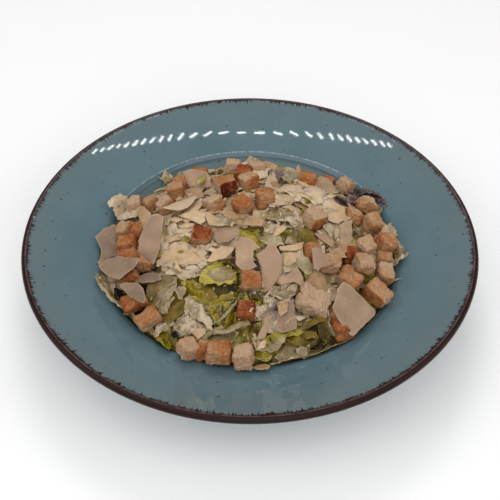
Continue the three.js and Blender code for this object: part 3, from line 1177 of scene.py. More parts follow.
@dataclass
class Plate:
    """The plate: thrown in one piece, glazed, with a brushed rim."""

    form: PlateForm
    finish: GlazeFinish = GlazeFinish()
    steps: int = 192

    def build(self) -> bpy.types.Object:
        """Spins the plate's section about the upright.

        Returns:
            The plate.
        """
        section = [Vector((x, 0.0, z)) for x, z in self.form.section()]
        deselect()
        bpy.ops.mesh.primitive_plane_add(size=1 * MM, location=section[0])
        plate = bpy.context.object
        plate.name = plate.data.name = "glazed_plate"
        bpy.ops.object.transform_apply(location=True, rotation=True, scale=True)
        bpy.ops.object.mode_set(mode="EDIT")
        bpy.ops.mesh.select_all(action="SELECT")
        bpy.ops.mesh.merge(type="CENTER")
        for here, there in zip(section, section[1:]):
            bpy.ops.mesh.extrude_vertices_move(TRANSFORM_OT_translate={"value": there - here})
        bpy.ops.mesh.select_all(action="SELECT")
        bpy.ops.mesh.spin(steps=self.steps, angle=2 * math.pi, center=(0, 0, 0), axis=(0, 0, 1))
        bpy.ops.mesh.select_all(action="SELECT")
        bpy.ops.mesh.remove_doubles(threshold=0.01 * MM)
        bpy.ops.mesh.normals_make_consistent(inside=False)
        bpy.ops.object.mode_set(mode="OBJECT")
        focus(plate)
        bpy.ops.object.shade_smooth_by_angle(angle=math.radians(35))
        dress(plate, self.finish.material(), "glaze", "plate")
        return plate


# --- croutons

SIDES = {
    "front": Vector((0, -1, 0)),
    "right": Vector((0.72, -0.69, 0)),
    "left": Vector((-0.72, -0.69, 0)),
}


@dataclass(frozen=True)
class Toasting:
    """How dark each side in sight of a crouton is: 0 bare crumb, 0.5 golden, 1 dark crust. The side values
    hold painted shade as well as toasting, each side as dark as it lay in the light.

    rest is the darkness of the other sides, edges what the edges have on top, crag how craggy the crumb is.
    """

    top: float
    front: float
    right: float
    left: float
    rest: float = 0.35
    edges: float = 0.05
    crag: float = 1.0


# Per crouton: top, front, right and left, then rest, edges and crag where given; the side values carry
# painted shade as well as toasting.
TOASTED = {number: Toasting(*darkness) for number, darkness in enumerate((
    (0.3, 0.45, 0.6, 0.4), (0.45, 0.85, 1.0, 0.15), (0.2, 0.35, 0.5, 0.3), (0.05, 0.05, 0.1, 0.1),
    (0.05, 0.08, 0.1, 0.1), (0.52, 0.4, 0.36, 0.52), (0.5, 0.42, 0.4, 0.5), (0.0, 0.4, 0.4, 0.22),
    (0.86, 0.38, 0.42, 0.42), (0.5, 0.55, 0.5, 0.5), (0.12, 0.15, 0.2, 0.12), (-0.05, 0.35, 0.35, 0.3),
    (0.32, 0.4, 0.4, 0.4), (0.25, 0.35, 0.35, 0.3), (0.1, 0.3, 0.6, 0.2), (0.38, 0.4, 0.35, 0.45),
    (0.14, 0.25, 0.15, 0.1), (0.15, 0.2, 0.25, 0.2), (0.15, 0.3, 0.2, 0.2), (0.45, 0.35, 0.55, 0.3),
    (0.34, 0.1, 0.05, 0.6), (0.34, 0.2, 0.2, 0.2), (0.4, 0.5, 0.5, 0.5), (0.52, 0.3, 0.45, 0.3),
    (0.74, 0.76, 0.74, 0.76), (-0.1, 0.0, 0.05, 0.1, 0.05, 0.0, 1.6), (0.45, 0.35, 0.4, 0.45),
    (0.08, 0.15, 0.15, 0.15), (0.3, 0.2, 0.2, 0.15), (0.44, 0.2, 0.25, 0.15), (0.52, 0.58, 0.55, 0.55),
    (0.62, 0.6, 0.55, 0.55), (0.2, 0.3, 0.4, 0.3), (-0.06, 0.1, 0.12, 0.1), (0.3, 0.25, 0.4, 0.4),
    (-0.12, 0.1, 0.3, 0.15), (0.55, 0.6, 0.6, 0.6), (0.6, 0.68, 0.65, 0.65),
), 1)}


@dataclass(frozen=True)
class Covered:
    """A crouton that is mostly covered: its place, sides and turn as in the solids, and its toasting.

    Lengths are in millimetres and the turn in degrees.
    """

    x: float
    y: float
    length: float
    width: float
    turn: float
    toast: float


COVERED = tuple(Covered(*values) for values in (
    (-35, 62, 10.5, 9, 5, 0.6), (-5, 46, 10, 11, 15, 0.75), (54, 60, 8, 8, 20, 0.5),
    (-26, -87, 7, 10, 10, 0.5), (-70, 0, 8, 10, 10, 0.6), (-63, -28, 10, 9, 10, 0.4),
    (61, -23, 9, 9, 0, 0.8), (83, -18, 9, 9, 10, 0.35), (50, -65, 9, 9, 20, 0.5),
    (53, -72, 11, 10, -20, 0.6), (13, 61, 10, 8, 20, 0.12), (-46, 47, 9, 9, 40, 0.3),
))


@dataclass
class Croutons:
    """The croutons: cubes cut from a loaf and toasted, each in its solid's place."""

    finish: BreadFinish = BreadFinish()
    grid: float = 0.48 * MM
    crag: float = 0.4 * MM
    broad_size: float = 7.0 * MM
    lump_size: float = 2.6 * MM
    pit_size: float = 1.3 * MM
    covered_tilt: float = 7.0
    covered_share: float = 0.95
    covered_sink: float = 0.5 * MM

    def build(self, ground: Ground) -> None:
        """Makes every crouton, those in sight from their solids.

        Args:
            ground: What the covered ones lie on.
        """
        material = self.finish.material()
        for number, toasting in TOASTED.items():
            node = f"crouton_{number:02d}"
            piece = merged_copy(node, f"bread_cube_{number:02d}")
            self.roughen(piece, toasting, number)
            dress(piece, material, "crumb", node)
        for number, covered in enumerate(COVERED):
            piece = self.covered_block(covered, ground, number)
            self.roughen(piece, Toasting(*[covered.toast] * 4, covered.toast), 60 + number)
            move_corners(piece.data, ground.settle(corners_of(piece.data)))
            dress(piece, material, "leaves", "salad")

    def covered_block(self, covered: Covered, ground: Ground, number: int) -> bpy.types.Object:
        """A plain block where a covered crouton lies.

        Args:
            covered: The crouton.
            ground: What it lies on.
            number: Its number.

        Returns:
            The block.
        """
        length, width = mm(covered.length, covered.width)
        x, y = mm(covered.x, covered.y)
        height = width * self.covered_share
        base = float(ground.height(np.array([x]), np.array([y]))[0])
        deselect()
        bpy.ops.mesh.primitive_cube_add(size=1.0)
        piece = bpy.context.object
        piece.name = piece.data.name = f"covered_bread_cube_{number + 1:02d}"
        bpy.ops.object.mode_set(mode="EDIT")
        bpy.ops.mesh.select_all(action="SELECT")
        bpy.ops.transform.resize(value=(length, width, height))
        for angle, axis in ((covered.turn, "Z"), (self.covered_tilt, "X")):
            bpy.ops.transform.rotate(value=math.radians(angle), orient_axis=axis, center_override=(0, 0, 0))
        bpy.ops.transform.translate(value=(x, y, base + height / 2 - self.covered_sink))
        bpy.ops.object.mode_set(mode="OBJECT")
        return piece

    def roughen(self, piece: bpy.types.Object, toasting: Toasting, seed: int) -> None:
        """Rounds a cut block and gives it open crumb and toasted sides.

        Args:
            piece: The block, its faces still flat.
            toasting: How dark its sides are.
            seed: Picks the pattern of its pits.
        """
        sides = self.main_sides(piece.data)
        apply_modifier(piece, "REMESH", mode="VOXEL", voxel_size=self.grid)
        apply_modifier(piece, "SMOOTH", factor=0.7, iterations=26)
        mesh = piece.data
        normals, places = normals_of(mesh), corners_of(mesh)
        weights = np.clip(normals @ sides.T, 0, 1)
        nearest = weights.max(1)
        shares = weights ** 7
        shares /= np.maximum(shares.sum(1, keepdims=True), 1e-9)
        levels = np.array([self.level(Vector(side), toasting) for side in sides])
        edge = np.clip((0.97 - nearest) / 0.2, 0, 1)
        broad = ripple(places, self.broad_size, seed)
        lumps = ripple(places, self.lump_size, seed + 100)
        pits = ripple(places, self.pit_size, seed + 200)
        # The side levels carry painted shade as well as toasting.
        toast = shares @ levels + toasting.edges * edge * (0.8 + lumps * 4) + broad * 0.22
        depth = broad * 3.4 + lumps * 1.2 + pits.clip(-0.5, 0.25) * 2.0 + 0.5
        softness = 1.2 - 0.5 * np.clip(toast, 0, 1)
        move_corners(mesh, places + normals * (depth * softness * self.crag * toasting.crag)[:, None])
        carry(mesh, "toast", toast + pits.clip(-0.4, 0) * 0.5)
        focus(piece)
        bpy.ops.object.shade_smooth()

    @staticmethod
    def main_sides(mesh: bpy.types.Mesh) -> np.ndarray:
        """Finds the directions of a block's six main sides.

        Args:
            mesh: The block, its faces still flat.

        Returns:
            Six unit vectors as rows.
        """
        groups: list[list] = []
        for face in sorted(mesh.polygons, key=lambda f: -f.area):
            for group in groups:
                if group[0].angle(face.normal) < math.radians(38):
                    group[1] += face.area
                    group[2] += face.normal * face.area
                    break
            else:
                groups.append([face.normal.copy(), face.area, face.normal * face.area])
        groups.sort(key=lambda group: -group[1])
        return np.array([group[2].normalized() for group in groups[:6]])

    @staticmethod
    def level(side: Vector, toasting: Toasting) -> float:
        """How dark a side is.

        Args:
            side: The direction that it faces.
            toasting: The crouton's toasting.

        Returns:
            The darkness.
        """
        if side.z > 0.7:
            return toasting.top
        closest = max(SIDES, key=lambda name: side.dot(SIDES[name]))
        return getattr(toasting, closest) if side.dot(SIDES[closest]) > 0.55 else toasting.rest


# --- cheese shavings


@dataclass(frozen=True)
class Shaving:
    """One shaving in sight: its solid's number, shade, outline in the camera's frame and thickness."""

    number: int
    tone: float
    outline: tuple[Point, ...]
    thickness: float = 1.2 * MM


SHAVINGS = (
    Shaving(1, 0.5, ((150.6, 215.6), (157, 213.5), (163.9, 217.2), (162.5, 228), (161.1, 237.2), (160, 248),
        (156, 258), (153.9, 264.4), (146, 261), (137.8, 258.3), (138.9, 239.4), (144, 227))),
    Shaving(2, 0.15, ((95.6, 236.7), (104.4, 228.3), (113.9, 224.1), (118.3, 226.1), (117.8, 255),
        (108.9, 257.2), (106, 262), (99, 266), (101.7, 249.4)), 0.9 * MM),
    Shaving(3, 0.3, ((98.9, 266.7), (104.4, 261.1), (116.7, 256.1), (137.8, 257.8), (138.9, 260),
        (135.6, 265.6), (127.8, 272.2), (118.9, 279.4), (108.9, 276.7), (102.2, 271.1))),
    Shaving(4, 0.15, ((132.2, 281.7), (137.8, 276.7), (147.8, 272.2), (158.9, 273.3), (161.1, 278.9),
        (152.2, 282.2), (142.2, 283.3))),
    Shaving(5, 0.1, ((119.4, 285.6), (123.3, 283.3), (137.8, 282.8), (143.3, 287.8), (145.6, 297.8),
        (144.4, 303.3), (138.9, 302.2), (128.9, 295.6), (122.2, 288.9))),
    Shaving(6, 1.5, ((162.8, 207.8), (172.8, 203.9), (184.4, 198.9), (196.7, 196.1), (195, 199.4),
        (187.8, 207.2), (178.9, 210.6), (171.1, 209.4)), 1.0 * MM),
    Shaving(7, 0.75, ((182.2, 171.7), (192.2, 168.6), (206.7, 171.7), (210, 177.2), (211.1, 186.7),
        (190, 187.2), (186.7, 182.2))),
    Shaving(8, 0.75, ((215.6, 228.3), (223.3, 225), (233.3, 223.9), (239.4, 227.8), (235.6, 237.2),
        (227.8, 241.7), (217.8, 242.8), (213.3, 237.2)), 0.9 * MM),
    Shaving(9, 0.8, ((234.5, 243), (241, 237), (246, 237), (252, 240), (260, 248), (253, 251), (253, 262),
        (256.5, 265.5), (247, 272), (242, 270), (236, 264.5), (235.5, 249))),
    Shaving(10, 1, ((268.9, 244.4), (272.2, 243.3), (276.7, 247.8), (282.8, 258.9), (282.8, 272.2),
        (277.8, 278.9), (266.7, 292.2), (263.9, 291.1), (261.1, 267.8), (256.1, 254.4), (262.2, 251.1))),
    Shaving(11, 0.75, ((278.3, 280), (284.4, 277.8), (293.3, 268.9), (297.8, 267.2), (303.3, 276.7),
        (304.4, 285.6), (300, 285.6), (294.4, 281.7), (281.1, 284.4))),
    Shaving(12, 0.6, ((337.8, 288.9), (343.8, 281.4), (351.1, 285.6), (357.8, 293), (365.6, 300.4),
        (375.8, 311.6), (374.2, 315.6), (353.3, 336.1), (349.4, 334.4), (340, 322.2), (332.2, 307.8),
        (335.6, 297.8)), 1.3 * MM),
    Shaving(13, 0.8, ((315, 233.9), (323.3, 227.8), (332.2, 231.7), (337.8, 238.3), (332.2, 247.2),
        (326.7, 243.9))),
    Shaving(14, 0.75, ((340, 226.1), (344.4, 221.1), (352.2, 220.6), (352.8, 239.4), (346.7, 245),
        (340.6, 243.9))),
    Shaving(15, 0.4, ((312.2, 248.9), (316.7, 246.7), (327.8, 256.7), (328.9, 265.6), (322.2, 266.7),
        (317.8, 271.1), (314.4, 268.9))),
    Shaving(16, 0.85, ((256.1, 338.9), (261.1, 326.7), (263.3, 316.7), (272.2, 314.4), (268.9, 327.8),
        (264.4, 340)), 1.1 * MM),
    Shaving(17, 0.2, ((278, 303), (291, 300), (295, 306), (293, 311), (297, 321), (296, 329), (281, 333),
        (275, 327), (278, 315)), 0.9 * MM),
    Shaving(18, 1.6, ((270, 193.9), (272.2, 191.7), (286.7, 183.9), (300, 180.6), (306.7, 182.8),
        (305.6, 188.3), (293.3, 191.7), (276.7, 194.4)), 1.0 * MM),
)


@dataclass
class CheeseShavings:
    """The shavings of hard cheese, each bent as its solid is."""

    view: View
    finish: CheeseFinish = CheeseFinish(
        "shaved_cheese", srgb(184, 152, 122), srgb(212, 184, 154), srgb(136, 114, 94))
    step: float = 1.1 * MM
    ragged: float = 0.22 * MM

    def build(self) -> None:
        """Makes every shaving from its outline and its solid's bend."""
        material = self.finish.material()
        for shaving in SHAVINGS:
            node = f"parmesan_{shaving.number:02d}"
            dress(self.shape(shaving, node), material, "cheese", node)

    def shape(self, shaving: Shaving, node: str) -> bpy.types.Object:
        """Carries a shaving's outline onto its solid's bent face and fills it.

        Args:
            shaving: The shaving.
            node: Its solid.

        Returns:
            The shaving as a piece.
        """
        places = corners_of(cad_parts[node].data)
        centre = places.mean(0)
        axes = np.linalg.svd(places - centre)[2]
        axes[2] *= np.sign(axes[2][2])
        axes[1] = np.cross(axes[2], axes[0])
        local = (places - centre) @ axes.T
        bend = np.linalg.lstsq(self.terms(local[:, :2]), local[:, 2], rcond=None)[0]
        corners = np.array([self.meet(self.view.ray(x, y), centre, axes, bend) for x, y in shaving.outline])
        number = shaving.number
        cut = cut_out(corners, self.step, self.ragged, number, random.Random(SEED + number))
        flat = upright(cut.points)
        wave = ripple(flat, 9 * MM, number) * 0.5 * MM + ripple(flat, 2.5 * MM, number) * 0.12 * MM
        height = self.terms(cut.points) @ bend + wave
        middle = centre + cut.points @ axes[:2] + height[:, None] * axes[2]
        crest = np.clip(0.5 + wave / (0.7 * MM), 0, 1)
        sheet = SheetMesh()
        sheet.add(cut, middle, shaving.thickness, shaving.tone, crest, cut.points * FIBRES)
        return sheet.piece(f"cheese_shaving_{number:02d}")

    @staticmethod
    def terms(points: np.ndarray) -> np.ndarray:
        """The terms of a gently bent surface at some points."""
        u, v = points[:, 0], points[:, 1]
        return np.column_stack([np.ones(len(points)), u, v, u * u, u * v, v * v])

    def meet(self, ray: np.ndarray, centre: np.ndarray, axes: np.ndarray, bend: np.ndarray) -> np.ndarray:
        """Where a ray from the camera meets a bent surface.

        Args:
            ray: The ray's direction.
            centre: The surface's middle.
            axes: Its two directions and its normal.
            bend: The weights of its terms.

        Returns:
            The place along the two directions.
        """
        place = np.zeros(2)
        eye = np.array(self.view.place)
        for _ in range(4):
            height = float(self.terms(place[None])[0] @ bend)
            base = centre + height * axes[2]
            depth = ((base - eye) @ axes[2]) / (ray @ axes[2])
            place = axes[:2] @ (eye + depth * ray - centre)
        return place


# --- leaves and flakes


class Kind(Enum):
    """The kinds of thin piece in the heap."""

    GREEN = "green_leaves"
    PALE = "pale_leaves"
    DRESSED = "dressed_leaves"
    OLIVE = "shaded_leaves"
    # The purple kind also holds the dark sheets of painted shade.
    PURPLE = "purple_leaves"
    FLAKE = "cheese_flakes"


GREEN, PALE, DRESSED, OLIVE, PURPLE, FLAKE = Kind

FINISHES = {
    GREEN: LeafFinish("green_leaf", srgb(138, 120, 0), srgb(188, 170, 66), srgb(76, 60, 0),
                      dressing=srgb(194, 176, 118), dressed_from=0.6, contrast=1.3, gloss=0.25),
    PALE: LeafFinish("pale_leaf", srgb(144, 122, 74), srgb(184, 164, 128), srgb(102, 84, 26),
                     dressed_from=0.64, contrast=0.9, roughness=0.24, gloss=0.5),
    DRESSED: LeafFinish("dressed_leaf", srgb(176, 151, 116), srgb(208, 185, 154), srgb(132, 110, 66),
                        dressing=srgb(204, 182, 154), dressed_from=0.52, roughness=0.26, contrast=0.5,
                        gloss=0.5, texture=0.5),
    OLIVE: LeafFinish("shaded_leaf", srgb(94, 74, 6), srgb(140, 116, 50), srgb(36, 26, 0),
                      dressed_from=0.76, contrast=0.8, gloss=0.12),
    # Purple leaf, whose near-black deep colour also serves the dark sheets of painted shade in hollows.
    PURPLE: LeafFinish("purple_leaf", srgb(74, 52, 50), srgb(132, 112, 110), srgb(16, 5, 3),
                       dressed_from=0.74, gloss=0.08),
    FLAKE: CheeseFinish("fine_cheese", srgb(207, 173, 135), srgb(231, 201, 165), srgb(164, 128, 89),
                        mottle=3.0 * MM, relief=0.5 * MM, contrast=0.7),
}


@dataclass(frozen=True)
class Habit:
    """How thick sheets of a kind are and how they are bent, in millimetres.

    folds, creases and grain are the depths of broad waves, of sharp creases and of fine relief; frill is the
    depth of the waves along the edge, ragged that of the edge's own line.
    """

    thickness: float
    folds: float
    creases: float
    grain: float
    frill: float
    ragged: float

    def heights(self, cut: Cut, seed: int) -> tuple[np.ndarray, np.ndarray]:
        """How far a bent sheet stands off its plane.

        Args:
            cut: The sheet's flat shape.
            seed: Picks the pattern.

        Returns:
            The height at each point, and how near it is to a crest: 0 in a hollow, 1 on a crest.
        """
        flat = upright(cut.points)
        drift = np.column_stack([ripple(flat, 9 * MM, seed + 5), ripple(flat, 9 * MM, seed + 6), flat[:, 2]])
        warped = flat + drift * 4 * MM
        along, across = np.linalg.svd(cut.points - cut.points.mean(0), full_matrices=False)[2]
        ribbed = np.column_stack([warped[:, :2] @ along * 0.36, warped[:, :2] @ across, flat[:, 2]])
        folds = ripple(warped, 10 * MM, seed) * self.folds
        creases = (0.28 - np.abs(ripple(ribbed, 4.4 * MM, seed + 21))) * 2 * self.creases
        grain = ripple(ribbed, 1.9 * MM, seed + 42) * self.grain
        frill = ripple(flat, 4.2 * MM, seed + 63) * self.frill * (1 - cut.inward) ** 2
        heights = folds + creases + grain + frill
        spread = 0.35 * self.folds + 0.4 * self.creases + 0.3 * self.grain
        return heights * MM, np.clip(0.5 + 0.5 * heights / spread, 0, 1)


HABITS = {
    GREEN: Habit(0.6, 3.0, 2.0, 0.8, 1.8, 0.6),
    PALE: Habit(0.9, 2.4, 1.1, 0.5, 0.9, 0.4),
    DRESSED: Habit(0.7, 2.8, 1.7, 0.6, 1.3, 0.6),
    OLIVE: Habit(0.6, 2.8, 1.4, 0.6, 1.3, 0.45),
    PURPLE: Habit(0.6, 2.4, 1.5, 0.8, 2.8, 1.2),
    FLAKE: Habit(0.6, 1.4, 0.6, 0.3, 0.5, 0.32),
}


@dataclass(frozen=True)
class Sheet:
    """A leaf or flake in sight: how it lies over the heap, and its outline in the camera's frame.

    lift is its height above the heap, near how much higher its near edge is, side how much higher its right
    edge is and bulge how much its middle stands proud, all in millimetres. tone is its shade, from 0 deep to
    1 pale, and ruffle the share of its kind's waves. over is whether it lies on the croutons and shavings.
    """

    name: str
    kind: Kind
    lift: float
    near: float
    side: float
    bulge: float
    tone: float
    ruffle: float
    outline: tuple[Point, ...]
    over: bool = False


SHEETS = (
    # --- near left: the folded leaf at the edge and what lies in it
    Sheet("left_flap_inside", PALE, 2, 0.5, 0, 0.6, 0.8, 0.6, ((101, 279), (116, 284), (114, 295),
        (117, 301), (112, 298), (106, 290))),
    Sheet("left_flap_edge", DRESSED, 3.4, 0.5, -0.5, 0.4, 0.45, 1.2, ((95, 276), (98, 277), (104, 287),
        (109, 292), (114, 298), (119, 302), (124, 306), (131, 310), (136, 317), (131, 314), (117, 306),
        (110, 300), (105, 293), (100, 288))),
    Sheet("left_flap_tip", PALE, 2.6, 0.5, -0.5, 0.4, 0.3, 0.5, ((96, 275), (102, 274), (110, 277),
        (116, 280.5), (113, 282), (99, 279.5))),
    # Painted shade: a dark sheet laid in the hollow under the flap.
    Sheet("left_hollow", PURPLE, 2.2, 0, 0, 0.2, -1.1, 0.3, ((114, 288), (119, 289), (128, 294), (129, 299),
        (126, 304), (119, 302), (115, 296))),
    Sheet("left_purple", PURPLE, 1.6, 0, 0, 0.5, -0.5, 0.6, ((117, 302), (125, 305), (132, 311), (140, 309),
        (148, 304), (146, 311), (138, 318), (121, 308))),
    Sheet("left_purple_nib", PURPLE, 3, 0, 0, 0.4, -0.1, 0.4, ((140, 287), (144, 283), (151, 289),
        (152, 292), (146, 295))),
    # Painted shade: a dark sheet laid in the slot by the rib.
    Sheet("left_dark_slot", PURPLE, 3.4, 0, 0, 0.2, -1, 0.2, ((136.5, 277.5), (140, 272.5), (150, 270.5),
        (148, 273.5), (141, 277.5))),
    # Painted shade: a dark sheet laid in a small gap.
    Sheet("left_dark_drop", PURPLE, 4.6, 0, 0, 0.4, -0.6, 0.2, ((151.5, 268.5), (155.5, 267), (159.5, 268),
        (158.5, 272), (153.5, 272))),
    Sheet("rib_back", OLIVE, 2, 0, 0, 0.8, 0.5, 0.6, ((160, 272), (170, 271), (177, 274), (181, 281),
        (178, 288), (161, 283))),
    Sheet("rib_shadow_side", OLIVE, 2.8, -1.2, -0.5, 1.4, 0.52, 0.6, ((176, 290), (184, 299), (186, 306),
        (183, 313), (178, 320), (171, 324), (164, 322), (164, 317), (171, 299))),
    Sheet("rib", PALE, 3.6, -0.6, 0.5, 1.4, 0.25, 0.3, ((148, 284), (155, 282), (162, 277), (170, 276),
        (177, 278), (177, 286), (170, 300), (164, 316), (158, 311), (151, 308), (146, 312), (146, 296))),
    Sheet("rib_fibre_high", PALE, 4.4, -0.6, 0.2, 0.1, 0.8, 0.1, ((150, 299), (167, 285), (175, 280.5),
        (175.5, 282), (168, 286.5), (151, 300.5))),
    Sheet("rib_fibre_mid", PALE, 4.4, -0.6, 0.2, 0.1, 0.55, 0.1, ((154, 305), (168, 291), (174.5, 286.5),
        (175, 287.5), (169, 292.5), (155, 306))),
    Sheet("rib_fibre_low", PALE, 4.4, -0.6, 0.2, 0.1, 0.6, 0.1, ((159, 309), (165, 301.5), (171, 294.5),
        (172, 295.5), (160, 310))),
    Sheet("rib_slit", PALE, 4.4, -0.6, 0.2, 0.2, 0.5, 0.2, ((173.5, 297), (175.5, 298), (172, 303),
        (169, 308.5), (167.5, 314.5), (166, 313.5), (168, 306), (171, 300))),
    Sheet("white_wedge", DRESSED, 4.8, 0.5, 0, 0.4, 0.3, 0.4, ((174, 290), (179, 286), (184, 285),
        (186, 288), (185, 294), (183, 299), (180, 298))),
    # --- the shelf, the ruffled margin and the cup
    Sheet("shelf_green", OLIVE, 1.5, 0, 0, 0.4, 0.1, 0.6, ((182, 276.5), (190, 276.5), (197, 278),
        (200, 282), (193, 284), (186, 281.5))),
    Sheet("dressed_shelf", DRESSED, 3.6, 0.6, 0, 0.8, 0.75, 1, ((161, 264), (170, 263), (178, 266),
        (190, 264), (205, 267), (199, 277), (188, 277), (180, 279), (177, 275), (166, 274), (162, 268))),
    Sheet("shelf_tint", PALE, 4.4, 0.4, 0, 0.4, 0.85, 0.6, ((160.5, 266.5), (164, 264.5), (168, 267),
        (167, 271.5), (163, 271.5))),
    # Painted shade: a dark sheet laid in the hollow under the cupped leaf.
    Sheet("hollow_floor", OLIVE, 2.4, -1, 0, -0.8, 0.15, 0.4, ((211, 286), (222, 285), (236, 286),
        (240, 291), (236, 298), (226, 297), (216, 298), (210, 292))),
    # Painted shade: the darkest part of that hollow.
    Sheet("hollow_dark", OLIVE, 3.6, -0.5, 0, -0.4, -0.35, 0.2, ((225, 287), (233, 287), (237.5, 290.5),
        (236, 293), (229, 291.5))),
    Sheet("margin_green", GREEN, 2.8, 0.8, 0, 1, 0.4, 1.2, ((182, 280), (189, 280), (201, 286), (213, 297),
        (214, 304), (204, 304), (193, 301), (186, 297), (185, 289))),
    Sheet("margin_white", DRESSED, 4.2, 0.6, 0, 0.5, 0.25, 1, ((184, 298), (191, 296), (199, 299),
        (207, 302), (212, 306), (208, 310), (202, 307), (196, 306), (191, 313), (186, 308))),
    Sheet("mid_glass", OLIVE, 4, 0.4, 0, 0.8, 0.9, 0.2, ((199, 289), (204, 286), (210, 287), (216, 294),
        (218, 298), (212, 300), (205, 296))),
    Sheet("cupped_leaf", GREEN, 6, 1.6, 0, 2.6, 0.8, 0.9, ((199, 282), (202, 272), (207, 267), (213, 264),
        (221, 262), (229, 265), (234, 270), (236, 277), (235, 283), (231, 286), (214, 284), (208, 285))),
    Sheet("cup_veil", PALE, 6.6, 1.4, 0, 2.6, 0.4, 0.8, ((206, 275), (210, 269), (219, 265), (228, 268),
        (233, 274), (232, 280), (224, 283), (208, 279))),
    Sheet("cup_right", GREEN, 2.4, 0, 0, 1, -0.1, 1, ((234, 270), (240, 269), (245, 272), (247, 281),
        (246, 289), (242, 294), (238, 290))),
    Sheet("front_green", GREEN, 3.2, 1, 0, 1.6, 0.25, 1.5, ((206, 301), (213, 302), (221, 298), (231, 296),
        (239, 293), (243, 290), (237, 314), (236, 322), (228, 327), (217, 327), (212, 319), (206, 314),
        (210, 307))),
    Sheet("front_green_fold", GREEN, 5, 0.6, 0, 0.8, -0.4, 0.8, ((222, 304), (229, 300), (236, 299),
        (235, 308), (230, 316), (222, 322), (216, 324), (218, 314))),
    Sheet("green_vein", PALE, 6.2, 0.8, 0.3, 0.1, 0.2, 0.15, ((237.5, 298), (238.5, 299), (230.5, 312),
        (225, 318), (218.5, 322.5), (213.5, 324.5), (214, 323), (219.5, 319.5), (225, 314.5), (233, 303))),
    Sheet("green_margin", PALE, 6, 0.8, 0.3, 0.1, -0.15, 0.4, ((246.5, 288.5), (247, 290), (242, 295),
        (238.5, 300), (237, 299), (240.5, 294))),
    # --- dressed leaves before them
    Sheet("pale_lap", DRESSED, 3, 0.8, 0, 1.2, -0.1, 1, ((173, 326), (186, 313), (193, 316), (203, 322),
        (207, 328), (212, 331), (209, 338), (200, 338), (192, 334), (183, 336), (178, 334))),
    Sheet("lap_ridge", DRESSED, 4.4, 0.5, 0, 0.4, 0, 0.7, ((176, 323.5), (183, 316), (187, 314.5),
        (185, 320), (177, 329))),
    Sheet("dressed_tongue", DRESSED, 4.8, 1, 0, 1, 0.4, 1, ((190, 313), (194, 307), (198, 304), (201, 306),
        (204, 312), (208, 318), (213, 320), (211, 332), (197, 320), (192, 318))),
    Sheet("white_curl", FLAKE, 5, 0.4, 0, 0.4, 0.5, 0.6, ((192, 332), (198, 328), (206, 330), (205, 335),
        (198, 340))),
    Sheet("tan_curl", PALE, 4.4, 0.4, 0, 0.3, 0.1, 0.5, ((199, 340), (205, 334), (213, 329), (222, 327),
        (226, 329), (216, 333), (208, 338), (205, 343))),
    Sheet("corner_green", GREEN, 1.8, 1.2, 0, 1, 0.4, 1.2, ((153, 334), (156, 328), (162, 325), (167, 328),
        (171, 333), (176, 336), (178, 340), (174, 347), (168, 349), (160, 345), (156, 340))),
    Sheet("corner_frill", DRESSED, 3.2, 0.6, 0, 0.5, -0.35, 1, ((153, 335), (156, 329), (161, 325),
        (167, 325), (169, 329), (159, 333), (156, 338))),
    # Painted shade: a dark sheet laid in the hollow at the corner.
    Sheet("corner_hollow", PURPLE, 4, 0, 0, 0.2, -0.3, 0.2, ((170, 334), (174, 332.5), (178.5, 333.5),
        (178.5, 337), (175, 338.5), (171.5, 336.5))),
    Sheet("olive_glass", PALE, 2.6, 1, 0, 0.8, -0.2, 0.4, ((205, 343), (211, 337), (220, 333), (233, 331),
        (237, 335), (233, 343), (222, 346))),
    Sheet("pale_edge", PALE, 5, 1.2, 0, 0.5, 0.35, 0.6, ((213, 333), (227, 329), (243, 321), (250, 319),
        (251, 324), (243, 326), (236, 331), (224, 334), (214, 335))),
    Sheet("bright_green", GREEN, 3, 0.6, 0, 1.4, 0, 0.9, ((238, 333), (243, 327), (249, 324), (256, 326),
        (257, 333), (253, 341), (252, 349), (247, 350), (243, 343))),
    Sheet("mid_green", GREEN, 2.6, 0, 0, 1, 0, 1, ((241, 322), (249, 318), (257, 317), (262, 322),
        (260, 331), (253, 333), (244, 329))),
    Sheet("under_crouton_green", GREEN, 1.6, 0, 0, 1, -0.5, 1, ((246, 288), (256, 291), (266, 289),
        (270, 295), (261, 301), (247, 298))),
    # --- near right, low
    Sheet("base_green", GREEN, 1.6, 1.2, 0, 1, 0.3, 0.9, ((253, 351), (262, 349), (271, 350), (275, 353),
        (270, 362), (262, 362), (253, 359))),
    Sheet("base_pale", PALE, 2.6, 0.6, 0, 0.4, 0.5, 0.6, ((253.5, 349.5), (262, 346.5), (270, 347.5),
        (269, 351), (258, 352))),
    Sheet("base_glass", PALE, 1.6, 0.8, 0, 1, 0.15, 0.9, ((275, 358), (279, 351), (284, 345), (291, 346),
        (297, 349), (303, 345), (309, 347), (309, 353), (302, 357), (294, 358), (284, 361))),
    Sheet("base_white", DRESSED, 3, 0.4, 0, 0.6, -0.4, 0.6, ((296, 349), (301, 346), (308, 348), (307, 354),
        (302, 356), (297, 354))),
    Sheet("green_patch", GREEN, 3, 0.4, 0, 0.8, 0.5, 0.8, ((264, 341), (269, 336), (278, 334), (286, 336),
        (285, 340), (276, 342), (266, 346))),
    Sheet("pale_stripe", PALE, 3.8, 0.8, 0, 0.4, 0.6, 0.6, ((262, 347), (270, 343), (279, 340), (286, 337),
        (285, 342), (277, 350), (269, 352))),
    # Painted shade: a dark sheet laid in a small gap.
    Sheet("black_nick", PURPLE, 5.6, 0, 0, 0.1, -0.8, 0.1, ((267.5, 341), (269, 338), (271.5, 338),
        (270, 341))),
    Sheet("tan_band", OLIVE, 3.2, 1, 0, 0.6, 0.6, 0.6, ((283, 336), (292, 333), (312, 340), (319, 337),
        (311, 344), (299, 347), (290, 343))),
